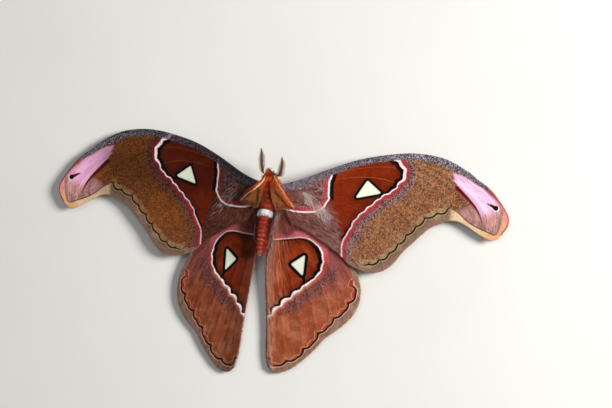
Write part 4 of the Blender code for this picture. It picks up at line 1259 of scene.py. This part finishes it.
class Skin:
    """The joined skin's triangles in plan millimetres, with kinds and hair directions."""

    def __init__(self, item, flesh):
        mesh = item.data
        mesh.calc_loop_triangles()
        places = np.empty(3 * len(mesh.vertices))
        mesh.vertices.foreach_get("co", places)
        self.points = places.reshape(-1, 3) / MM - SHIFT
        corners = np.empty(3 * len(mesh.loop_triangles), np.int64)
        mesh.loop_triangles.foreach_get("vertices", corners)
        self.corners = corners.reshape(-1, 3)
        source = np.vstack(flesh.points)
        kinds, lies = np.concatenate(flesh.kinds), np.vstack(flesh.lies)
        tree = KDTree(len(source))
        for i, place in enumerate(source):
            tree.insert(place, i)
        tree.balance()
        near = np.array([tree.find(place)[1] for place in self.points])
        self.kinds = kinds[near]
        self.lies = lies[near]
        a, b, c = (self.points[self.corners[:, k]] for k in range(3))
        cross = np.cross(b - a, c - a)
        self.areas = np.linalg.norm(cross, axis=1) / 2
        self.normals = cross / np.maximum(np.linalg.norm(cross, axis=1), 1e-12)[:, None]

    def scatter(self, wanted, density):
        """Roots spread over the triangles whose first corner is wanted, so many to the square millimetre."""
        keep = np.nonzero(wanted[self.corners[:, 0]])[0]
        weight = self.areas[keep] * density[self.corners[keep, 0]]
        count = int(weight.sum())
        picked = keep[rng.choice(len(keep), count, p=weight / weight.sum())]
        r, q = np.sqrt(rng.random(count)), rng.random(count)
        share = np.column_stack([1 - r, r * (1 - q), r * q])
        corner = self.corners[picked]
        roots = (self.points[corner] * share[:, :, None]).sum(axis=1)
        return roots, self.normals[picked], self.lies[corner[:, 0]], self.kinds[corner[:, 0]]


def make_skin():
    flesh = gather_flesh()
    material = coat_material("skin_scales")
    rough = make_object("skin_source", np.vstack(flesh.points), flesh.faces, material)
    join = rough.modifiers.new("join", "REMESH")
    join.mode = "VOXEL"
    join.voxel_size = VOXEL * MM
    ease = rough.modifiers.new("ease", "SMOOTH")
    ease.factor = 0.5
    ease.iterations = 3
    mesh = bpy.data.meshes.new_from_object(rough.evaluated_get(bpy.context.evaluated_depsgraph_get()))
    bpy.data.objects.remove(rough)
    item = add_item("moth_skin", mesh)
    mesh.materials.clear()
    mesh.materials.append(material)
    mesh.shade_smooth()
    skin = Skin(item, flesh)
    write_tint(mesh, coat_colour(skin.points, skin.kinds) * 0.75)
    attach(item, "root")
    nodes = ["thorax", "abdomen", "head"]
    nodes += [part + "_" + side for side in ("left", "right") for part in ("tegula", "palp")]
    nodes += ["leg_" + pair + "_" + side for side in ("left", "right") for pair in ("fore", "mid", "hind")]
    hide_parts(*nodes)
    return skin


def unwrap(p, kind):
    """Places on the body's own unwrap: turned round the middle line, with a strip for each kind."""
    x, y, z = p.T
    middle_z = np.where(kind == LEG, 3.0, THORAX_MIDDLE[1])
    turn = np.arctan2(z - middle_z, x - THORAX_MIDDLE[0]) / (2 * np.pi) + 0.5
    strip = np.choose(kind, [0, 1, 2, 3, 3, 4]) / 5
    along = np.clip((y + 34.0) / 50.0, 0, 1)
    return np.column_stack([0.01 + 0.98 * turn, 0.005 + strip + along * 0.19])


def grow_tufts(name, roots, normals, lies, length, width, rise, colours, places, material,
               slot, hug, rings=3):
    """Thin three-sided tapered tufts that leave the skin at a low angle and bend over along it."""
    count = len(roots)
    flat = lies - normals * (lies * normals).sum(axis=1)[:, None]
    flat /= np.maximum(np.linalg.norm(flat, axis=1), 1e-6)[:, None]
    across = np.cross(normals, flat)
    turn = rng.normal(0, 0.16, count)[:, None]
    flat = flat * np.cos(turn) + across * np.sin(turn)
    across = np.cross(normals, flat)
    length = np.broadcast_to(length, count) * rng.uniform(0.75, 1.2, count)
    width = np.broadcast_to(width, count) * rng.uniform(0.8, 1.2, count)
    rise = np.broadcast_to(rise, count) * rng.uniform(0.6, 1.4, count)
    curl = rng.normal(0, 0.12, count)
    hug = np.broadcast_to(hug, count)
    steps = np.linspace(0, 1, rings + 1)
    points = np.empty((count, 3 * rings + 1, 3))
    for k, t in enumerate(steps):
        high = length * rise * (t - 0.45 * t * t) - (length * t) ** 2 / (2 * hug) - (0.06 if k == 0 else 0.0)
        spot = (roots + flat * (length * t)[:, None] + across * (length * curl * t * t)[:, None]
                + normals * high[:, None])
        if k == rings:
            points[:, 3 * rings] = spot
            continue
        half = width / 2 * (1 - t) ** 0.6
        for i in range(3):
            a = 2 * math.pi * i / 3 + math.pi / 2
            points[:, 3 * k + i] = (spot - across * (half * math.cos(a))[:, None]
                                    + normals * (0.6 * half * math.sin(a))[:, None])
    points[..., 2] = np.maximum(points[..., 2], 0.01)
    faces = [(2, 1, 0)]
    for k in range(rings - 1):
        for i in range(3):
            j = (i + 1) % 3
            faces += [(3 * k + i, 3 * k + j, 3 * k + 3 + j), (3 * k + i, 3 * k + 3 + j, 3 * k + 3 + i)]
    top = 3 * (rings - 1)
    for i in range(3):
        faces.append((top + i, top + (i + 1) % 3, 3 * rings))
    faces = np.array(faces)
    each = 3 * rings + 1
    corners = (faces[None] + (np.arange(count) * each)[:, None, None]).reshape(-1, 3)
    item = make_object(name, points.reshape(-1, 3), corners.tolist(), material)
    mesh = item.data
    write_tint(mesh, np.repeat(colours, each, axis=0))
    spread = np.empty((each, 2))
    for k in range(rings):
        for i in range(3):
            spread[3 * k + i] = (i / 2 - 0.5, k / rings - 0.5)
    spread[3 * rings] = (0.0, 0.5)
    uv = (np.repeat(places, each, axis=0).reshape(count, each, 2) + PATCH * spread[None]).reshape(-1, 2)
    layer = mesh.uv_layers.new(name="OFBake")
    layer.data.foreach_set("uv", uv[corners.ravel()].astype(np.float32).ravel())
    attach(item, "root")


def vary(colours, amount=0.25):
    """Each tuft a little lighter or darker than its neighbours."""
    return np.clip(colours * rng.lognormal(0, amount, len(colours))[:, None], 0, 1)


def eye_gap(p):
    """How far each point is from the nearer eye's face."""
    gap = np.full(len(p), 9.0)
    for sign in (-1, 1):
        eye = np.array([HEAD_MIDDLE[0] + sign * (HEAD_SIDE + 0.3), EYE_FORWARD, EYE_HEIGHT])
        gap = np.minimum(gap, np.linalg.norm(p - eye, axis=1))
    return gap - EYE_RADIUS


def height_grid(skin):
    """The skin's highest point in each cell of a grid, seen from above."""
    top = skin.points[skin.points[:, 2] > 12.0]
    grid = np.full((GRID_COUNT, GRID_COUNT), -9.0)
    cell = ((top[:, :2] - GRID_CORNER) / GRID_CELL).astype(int)
    np.maximum.at(grid, (cell[:, 0], cell[:, 1]), top[:, 2])
    return grid


def make_crests(skin, material):
    """A bright line of hair on each lappet, and rust-red hair that fills in to it or hangs out from it."""
    grid = height_grid(skin)
    for side in SIGN:
        sign = SIGN[side]
        line = spline(CRESTS[side], 120)
        way = np.gradient(line, axis=0)
        way /= np.linalg.norm(way, axis=1)[:, None]
        out = np.column_stack([-way[:, 1], way[:, 0], np.zeros(len(line))]) * sign
        k = rng.integers(0, len(line), CREST_HAIRS)
        crest = line[k] + out[k] * rng.normal(0, 0.07, (CREST_HAIRS, 1)) + (0, 0, 0.15)

        count, inmost, outmost = CREST_FRINGE[side]
        j = rng.integers(0, len(line), count)
        aside = rng.uniform(inmost, outmost, count) * np.interp(j, [0, 16, 95, 119], [0.2, 1.0, 1.0, 0.3])
        hair = line[j] + out[j] * aside[:, None]
        cell = ((hair[:, :2] - GRID_CORNER) / GRID_CELL).astype(int)
        hair[:, 2] = np.maximum(hair[:, 2] - rng.uniform(0.4, 1.4, count), grid[cell[:, 0], cell[:, 1]])
        lean = rng.uniform(0.5, 1.3, (count, 1)) * np.interp(j, [0, 90, 119], [1.0, 1.0, 0.1])[:, None]
        reach = np.where(aside < 0, 0.5 - 1.3 * aside, 1.9)
        colours = vary(np.tile(rgb("rust"), (count, 1)), 0.35)

        roots = np.vstack([crest, hair])
        normals = np.tile((0.0, 0.0, 1.0), (len(roots), 1))
        lies = np.vstack([way[k] - (0, 0, 0.05), way[j] + out[j] * lean - (0, 0, 0.25)])
        grow_tufts("coat_crest_" + side, roots, normals, lies, np.r_[np.full(CREST_HAIRS, 2.0), reach],
                   np.r_[np.full(CREST_HAIRS, 0.13), np.full(count, 0.15)], 0.1,
                   np.vstack([vary(np.tile(rgb("ridge"), (CREST_HAIRS, 1)), 0.2), colours]),
                   unwrap(roots, np.full(len(roots), TEGULA)), material, "tegula_" + side, hug=14.0)


def make_forelock(skin, material):
    """Hair from the head and the front of the thorax that meets in a point over the head."""
    p, kind = skin.points, skin.kinds
    wanted = ((kind == HEAD) | (kind == THORAX)) & (p[:, 1] > 5.0) & (p[:, 2] > 12.8)
    wanted &= eye_gap(p) > EYE_CLEAR
    roots, normals, _, kinds = skin.scatter(wanted, np.full(len(p), 42.0))
    lies = np.array(FORELOCK_TIP) - roots
    far = np.linalg.norm(lies, axis=1)
    reach = np.minimum(far * rng.uniform(0.7, 1.0, len(roots)), 4.4)
    spear = (rng.random(len(roots)) < 0.45) & (far < 6.0)
    reach[spear] = far[spear] * rng.uniform(0.95, 1.15, spear.sum())
    reach = np.minimum(reach, 0.4 + 3 * np.maximum(eye_gap(roots), 0))
    brow = brow_mask(roots)[:, None]
    mixed = rng.random((len(roots), 1))
    colours = rgb("rust") * mixed + rgb("rear") * (1 - mixed)
    # The forelock's colours are made 1.5 times lighter: painted light against the shadow that the antenna
    # casts on the head.
    colours = 1.5 * colours * (1 - brow) + rgb("brow") * brow
    grow_tufts("coat_forelock", roots, normals, lies, reach, 0.16, 0.42, vary(colours), unwrap(roots, kinds),
               material, "head", hug=16.0)


def make_body_coat(skin):
    material = coat_material("coat_hair", 0.1)
    p, kind = skin.points, skin.kinds
    x, y, z = p.T
    radial = np.column_stack([x - APEX[0], y - APEX[1], np.zeros(len(p))])
    radial /= np.linalg.norm(radial, axis=1)[:, None]
    upper = ((kind == THORAX) & (z > 9)) | ((kind == HEAD) & (z > 12.4))
    skin.lies[upper] = radial[upper]

    trunk = ((kind == THORAX) | (kind == TEGULA)) & (y > -8.2)
    hood = ((kind == THORAX) | (kind == TEGULA)) & (y > 4.6) & (z > 12.2)
    clear = eye_gap(p) > EYE_CLEAR
    # Each coat: its name, where it grows, slot, tufts to the square millimetre, length, width, rise and hug.
    parts = (
        ("coat_trunk_left", trunk & (x < THORAX_MIDDLE[0]), "thorax", 17.0, 2.3, 0.17, 0.24, 7.0),
        ("coat_trunk_right", trunk & (x >= THORAX_MIDDLE[0]), "thorax", 17.0, 2.3, 0.17, 0.24, 7.0),
        ("coat_hood", hood & clear, "head", 20.0, 2.4, 0.16, 0.4, 9.0),
        ("coat_abdomen", (kind == ABDOMEN) & (y < -7.6), "abdomen", 18.0, 1.3, 0.16, 0.2, 4.5),
        ("coat_head", ((kind == HEAD) | (kind == PALP)) & clear, "head", 24.0, 0.85, 0.11, 0.3, 3.0),
        ("coat_legs", kind == LEG, "leg_mid_left", 15.0, 0.75, 0.12, 0.22, 1.6),
    )
    for name, wanted, slot, density, length, width, rise, hug in parts:
        roots, normals, lies, kinds = skin.scatter(wanted, np.full(len(p), density))
        _, ry, rz = roots.T
        reach = np.full(len(roots), length)
        reach[(kinds == LEG) & (rz < 1.6)] = 0.4
        reach[kinds == PALP] = 0.5
        white = (kinds == ABDOMEN) & (ry > -10.8) & (rz > 12.5)
        reach[(kinds == ABDOMEN) & (rz > 12.5)] = 0.8
        reach[white] = 1.5
        reach[(kinds == THORAX) & (ry < -6.0)] = 1.2
        sides = (kinds == ABDOMEN) & (np.abs(normals[:, 0]) > 0.7) & (ry > -31.0)
        reach[sides] = 2.4
        rise_here = np.full(len(roots), rise)
        rise_here[sides] = 0.45
        belly = (kinds == THORAX) & (rz < 9)
        reach[belly] = 1.6
        reach = np.minimum(reach, 0.3 + np.maximum(eye_gap(roots), 0))
        colours = vary(coat_colour(roots, kinds))
        grow_tufts(name, roots, normals, lies, reach, width, rise_here, colours, unwrap(roots, kinds),
                   material, slot, hug=hug)
    make_crests(skin, material)
    make_forelock(skin, material)


# Hair on the wing bases: where it grows on the shared plan, its way, size, count by side and colours.
FORE_LOCKS = (
    # The pale lock across the pink and white line.
    (((17.0, 2.6), (20.6, -1.0), (23.6, -4.6), (27.0, -6.6), (29.5, -10.6)), 1.7, (0.68, -0.73), (2.5, 6.5),
     {"right": 330, "left": 60}, ("hair_pale", "hair_pink", "hair_pale", "collar")),
    # Hair that fans out from the shoulder over the base.
    (((9.0, 2.0), (14.0, 0.5), (20.0, 0.0), (25.0, -1.0)), 2.6, (0.93, -0.36), (2.0, 4.0),
     {"right": 380, "left": 240}, ("hair_brown", "hair_dark", "hair_pink")),
    # Hair along the fold behind the white line.
    (((10.0, -9.6), (15.0, -11.0), (21.0, -12.0), (27.0, -12.0), (32.0, -15.0)), 2.0, (0.78, -0.62),
     (3.0, 6.5), {"right": 340, "left": 260}, ("hair_brown", "hair_dark", "hair_brown", "hair_pink")),
)
HIND_LOCKS = (
    (((8.0, -10.5), (10.0, -13.5), (13.0, -16.0)), 1.7, (0.22, -0.97), (3.0, 5.5),
     {"right": 420, "left": 380}, ("hair_brown", "hair_pink", "hair_pink", "hair_dark")),
    (((5.4, -8.0), (4.9, -13.0), (4.6, -19.0), (4.4, -24.0)), 0.5, (-0.34, -0.94), (3.0, 5.5),
     {"right": 760, "left": 520}, ("hair_brown", "hair_pink", "hair_pale", "hair_dark")),
)


def lock(sheet, line, spread, way, reach, counts, names):
    """One lock of wing hair: its spots, ways, lengths and colours."""
    count = counts[sheet.side]
    path = spline(line, 60)
    spots = path[rng.integers(0, 60, count)] + rng.normal(0, spread, (count, 2)) * (0.6, 1.0)
    turn = rng.normal(0, 0.2, count)
    dx, dy = way
    ways = np.column_stack([sheet.sign * (dx * np.cos(turn) - dy * np.sin(turn)),
                            dx * np.sin(turn) + dy * np.cos(turn), np.zeros(count)])
    lengths = rng.uniform(*reach, count)
    palette = np.array([rgb(name) for name in names])
    return spots, ways, lengths, vary(palette[rng.integers(0, len(names), count)], 0.2)


def fringe(sheet, outer, inner):
    """Short scales that stand out round the wing's edge."""
    outer, inner = spline(outer, 500), spline(inner, 400)[::-1]
    spots, ways, lengths, colours = [], [], [], []
    for path, name, size in ((outer, "fringe_margin", 0.75), (inner, "fringe_inner", 1.0)):
        length = np.linalg.norm(np.diff(path, axis=0), axis=1).sum()
        k = rng.integers(0, len(path), int(9 * length))
        way = np.gradient(path, axis=0)
        way /= np.linalg.norm(way, axis=1)[:, None]
        out = np.column_stack([-way[:, 1], way[:, 0]])[k] + 0.35 * rng.normal(0, 1, (len(k), 1)) * way[k]
        spots.append(path[k] - 0.25 * out)
        ways.append(np.column_stack([sheet.sign * out[:, 0], out[:, 1], np.zeros(len(k))]))
        lengths.append(np.full(len(k), size))
        colours.append(vary(np.tile(rgb(name), (len(k), 1)), 0.2))
    return np.vstack(spots), np.vstack(ways), np.concatenate(lengths), np.vstack(colours)


def make_wing_hair(sheets):
    material = coat_material("wing_hair", 0.05)
    for side in SIGN:
        fore, hind = sheets[side]
        for name, sheet, locks, edges, slot in (
                ("hair_fore_", fore, FORE_LOCKS, (FORE_OUTER, FORE_INNER), "forewing_"),
                ("hair_hind_", hind, HIND_LOCKS, (HIND_OUTER, HIND_INNER), "hindwing_")):
            grown = [lock(sheet, *one) for one in locks]
            spots, ways, lengths, colours = (np.concatenate(part) for part in zip(*grown))
            if sheet is fore:
                front = np.interp(spots[:, 0], *np.array(FORE_COSTA).T)
                keep = spots[:, 1] < front - 5.0
            else:
                under = np.interp(spots[:, 0], *np.array(FORE_INNER[:4]).T)
                keep = spots[:, 1] < under - 0.6
            spots, ways, lengths, colours = spots[keep], ways[keep], lengths[keep], colours[keep]
            roots, normals, places = sheet.roots(spots)
            edge_spots, edge_ways, edge_lengths, edge_colours = fringe(sheet, *edges)
            edge_roots, edge_normals, edge_places = sheet.roots(edge_spots)
            edge_roots[:, 2] -= 0.12
            width = np.r_[np.full(len(roots), 0.11), np.full(len(edge_roots), 0.15)]
            rise = np.r_[np.full(len(roots), 0.14), np.full(len(edge_roots), 0.03)]
            grow_tufts(name + side, np.vstack([roots, edge_roots]), np.vstack([normals, edge_normals]),
                       np.vstack([ways, edge_ways]), np.r_[lengths, edge_lengths], width, rise,
                       np.vstack([colours, edge_colours]), np.vstack([places, edge_places]), material,
                       slot + side, hug=60.0)


def eye_material():
    p = Paint("eye_facets", Coat_Weight=0.6, Coat_Roughness=0.08, Specular_IOR_Level=0.6)
    cell = p.cells(0.09)
    colour = p.lay(linear((34, 20, 14)),
        (linear((74, 44, 26)), cell.ramp(0.3, 0.9)),
        (linear((14, 8, 6)), p.noise(0.9, 2.0).ramp(0.45, 0.7)))
    p.bump(cell, 0.02, 0.6)
    return p.finish(colour, cell * 0.12 + 0.16)


def make_eyes():
    material = eye_material()
    for side, sign in SIGN.items():
        points = []
        around, rows = 40, 16
        for k in range(rows):
            tilt = math.pi / 2 * k / rows
            for i in range(around):
                a = 2 * math.pi * i / around
                radius = EYE_RADIUS * math.cos(tilt)
                out = HEAD_SIDE - 0.1 + (EYE_DEPTH + 0.4) * math.sin(tilt)
                points.append((HEAD_MIDDLE[0] + sign * out, EYE_FORWARD + radius * math.cos(a),
                               EYE_HEIGHT + radius * math.sin(a)))
        points.append((HEAD_MIDDLE[0] + sign * (HEAD_SIDE + 0.3 + EYE_DEPTH), EYE_FORWARD, EYE_HEIGHT))
        faces = loft_faces(rows, around)[:-2]
        for i in range(around):
            faces.append(((rows - 1) * around + i, (rows - 1) * around + (i + 1) % around, rows * around))
        faces.append(tuple(reversed(range(around))))
        if side == "left":
            faces = [tuple(reversed(face)) for face in faces]
        item = make_object("eye_dome_" + side, points, faces, material)
        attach(item, "root")
        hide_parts("eye_" + side)


def strip_tube(path, radii, sides, first_up=(0.0, 0.0, 1.0)):
    """Points and faces of a closed tapered tube."""
    rings, _ = tube_rings(path, radii, sides, first_up)
    return np.vstack(rings), loft_faces(len(path), sides)


def antenna_material():
    p = Paint("antenna_comb", Specular_IOR_Level=0.2)
    tint = p.attribute("tint", "Color")
    fine = p.noise(0.25, 3.0)
    colour = p.lay(tint, ((0.03, 0.015, 0.008, 1.0), fine.ramp(0.6, 0.4) * 0.4))
    p.bump(fine, 0.03)
    return p.finish(colour, 0.62 - fine * 0.15)


def make_antennae():
    """Feather-like feelers: a jointed shaft with two pairs of fine branches on each joint."""
    material = antenna_material()
    dark, edge = rgb("antenna"), rgb("antenna_edge")
    joints, fine, bare = 40, 6, 4
    for side, line in (("left", ANTENNA_LEFT), ("right", ANTENNA_RIGHT)):
        path = spline(line, joints * fine + 1)
        tangents, _, _ = frames_along(path, (0.0, 0.0, 1.0))
        sheet = COMB_SHEET - tangents * (tangents @ COMB_SHEET)[:, None]
        sheet /= np.linalg.norm(sheet, axis=1)[:, None]
        normal = np.cross(tangents, sheet)
        t = np.linspace(0, 1, len(path))
        beads = 1 + 0.12 * np.cos(2 * np.pi * t * joints)
        points, faces = strip_tube(path, (0.28 - 0.17 * t) * beads, 8)
        chunks, colours = [points], [np.tile(dark, (len(points), 1))]
        size = len(points)
        for k in range(bare, joints):
            at = k * fine
            share = (k - bare) / (joints - bare)
            taper = 1 - 0.8 * float(smooth(share, 0.5, 1.0))
            length = RAMUS_LENGTH * min(1.0, 0.6 + 2.5 * share) * taper + 0.15
            for way in (-1, 1):
                for pair, shift, splay in ((0, -2, 0.1), (1, 1, -0.06)):
                    root = path[min(at + shift, len(path) - 1)]
                    s = np.linspace(0, 1, 7)[:, None]
                    out = root + way * sheet[at] * length * s
                    out = out + tangents[at] * length * (0.42 - 0.1 * pair) * s ** 1.6
                    out = out + normal[at] * (0.12 + splay) * length * s ** 2
                    points, more = strip_tube(out, 0.13 - 0.07 * s[:, 0], 4, tuple(tangents[at]))
                    chunks.append(points)
                    faces += [tuple(i + size for i in face) for face in more]
                    size += len(points)
                    fade = np.repeat(s[:, 0], 4)[:, None]
                    # Branches that point up fade to a pale tip, painted light, and those that point down fade
                    # to a darker brown, painted shade.
                    colours.append(dark * (1 - fade) + (edge if way > 0 else 0.6 * dark) * fade)
        item = make_object("antenna_comb_" + side, np.vstack(chunks), faces, material)
        write_tint(item.data, np.vstack(colours))
        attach(item, "root")
        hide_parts("antenna_" + side)


def make_claws():
    p = Paint("claw_horn", BODY_PAINT, Coat_Weight=0.3, Coat_Roughness=0.2)
    shade = p.noise(0.4, 2.0)
    colour = p.lay("claw", (linear((86, 54, 34)), shade.ramp(0.4, 0.7)))
    material = p.finish(colour, shade * 0.2 + 0.25)
    chunks, faces, size = [], [], 0
    for side in SIGN:
        for points in (LEG_FORE, LEG_MID, LEG_HIND):
            path = leg_path(points, side)
            tip = path[-1]
            ahead = path[-1] - path[-4]
            ahead[2] = 0
            ahead /= np.linalg.norm(ahead)
            aside = np.array([-ahead[1], ahead[0], 0.0])
            for way in (-1, 1):
                s = np.linspace(0, 1, 8)[:, None]
                hook = tip + ahead * 0.62 * s + aside * way * (0.14 + 0.26 * s)
                hook = hook + (0, 0, 1) * (0.12 * np.sin(np.pi * s) - 0.28 * s ** 2)
                hook[:, 2] = np.maximum(hook[:, 2], 0.05)
                made, more = strip_tube(hook, 0.1 - 0.085 * s[:, 0], 8)
                chunks.append(made)
                faces += [tuple(i + size for i in face) for face in more]
                size += len(made)
    item = make_object("claws", np.vstack(chunks), faces, material)
    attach(item, "root")


# Camera: near overhead, tilted to the moth's right, as the photo was taken.
VIEW_TILT = math.radians(20.0)
VIEW_ROLL = math.radians(6.3)
VIEW_DISTANCE = 1100.0
PHOTO_WIDTH = 612
PHOTO_HEIGHT = 408
MM_PER_PIXEL = 0.505
AIM_POINT = np.array([0.0, 0.0, 16.0])
AIM_PIXEL = (267.4, 193.0)
SENSOR_WIDTH = 36.0
FLOOR_SIZE = 6.0


def make_camera():
    back = np.array([math.sin(VIEW_TILT), 0.0, math.cos(VIEW_TILT)])
    up0 = np.array([0.0, 1.0, 0.0]) - back * back[1]
    up0 /= np.linalg.norm(up0)
    right0 = np.cross(up0, back)
    right = right0 * math.cos(VIEW_ROLL) + up0 * math.sin(VIEW_ROLL)
    up = -right0 * math.sin(VIEW_ROLL) + up0 * math.cos(VIEW_ROLL)
    across = (AIM_PIXEL[0] - PHOTO_WIDTH / 2) * MM_PER_PIXEL
    down = (AIM_PIXEL[1] - PHOTO_HEIGHT / 2) * MM_PER_PIXEL
    target = AIM_POINT - across * right + down * up
    cam = bpy.data.cameras.new("camera")
    cam.sensor_width = SENSOR_WIDTH
    cam.lens = SENSOR_WIDTH * VIEW_DISTANCE / MM_PER_PIXEL / PHOTO_WIDTH
    cam.clip_start = 0.01
    cam.clip_end = 50.0
    item = add_item("camera", cam)
    turn = Matrix((right, up, back)).transposed().to_4x4()
    turn.translation = Vector(row(target + back * VIEW_DISTANCE))
    item.matrix_world = turn
    bpy.context.scene.camera = item


def area_light(name, place, aim, size, power, colour=(1.0, 1.0, 1.0)):
    data = bpy.data.lights.new(name, "AREA")
    data.shape = "DISK"
    data.size = size
    data.energy = power
    data.color = colour
    item = add_item(name, data)
    item.location = place
    item.rotation_euler = (Vector(aim) - Vector(place)).to_track_quat("-Z", "Y").to_euler()


def make_stage():
    p = Paint("floor_paper", Roughness=0.85, Specular_IOR_Level=0.2)
    colour = p.lay(linear((236, 235, 231)), (linear((228, 227, 222)), p.noise(60.0, 2.0)))
    p.bump(p.noise(1.5, 3.0), 0.02, 0.3)
    paper = p.finish(colour)
    mesh = bpy.data.meshes.new("floor")
    half = FLOOR_SIZE / 2
    corners = [(-half, -half, 0), (half, -half, 0), (half, half, 0), (-half, half, 0)]
    mesh.from_pydata(corners, [], [(0, 1, 2, 3)])
    mesh.materials.append(paper)
    floor = add_item("floor", mesh)
    area_light("key", (1.14, 0.34, 0.6), (0.02, 0, 0.01), 0.45, 30.0, (1.0, 0.985, 0.96))
    area_light("fill", (-0.1, 0.5, 1.4), (0, 0, 0), 1.2, 3.6, (0.97, 0.985, 1.0))
    world = bpy.data.worlds.new("studio")
    world.use_nodes = True
    sky = world.node_tree.nodes["Background"].inputs
    sky["Color"].default_value = (0.95, 0.97, 1.0, 1.0)
    sky["Strength"].default_value = 0.16
    bpy.context.scene.world = world
    bpy.context.scene.view_settings.view_transform = "Standard"


make_stage()
make_camera()
wings = make_wings()
skin = make_skin()
make_body_coat(skin)
make_wing_hair(wings)
make_eyes()
make_antennae()
make_claws()
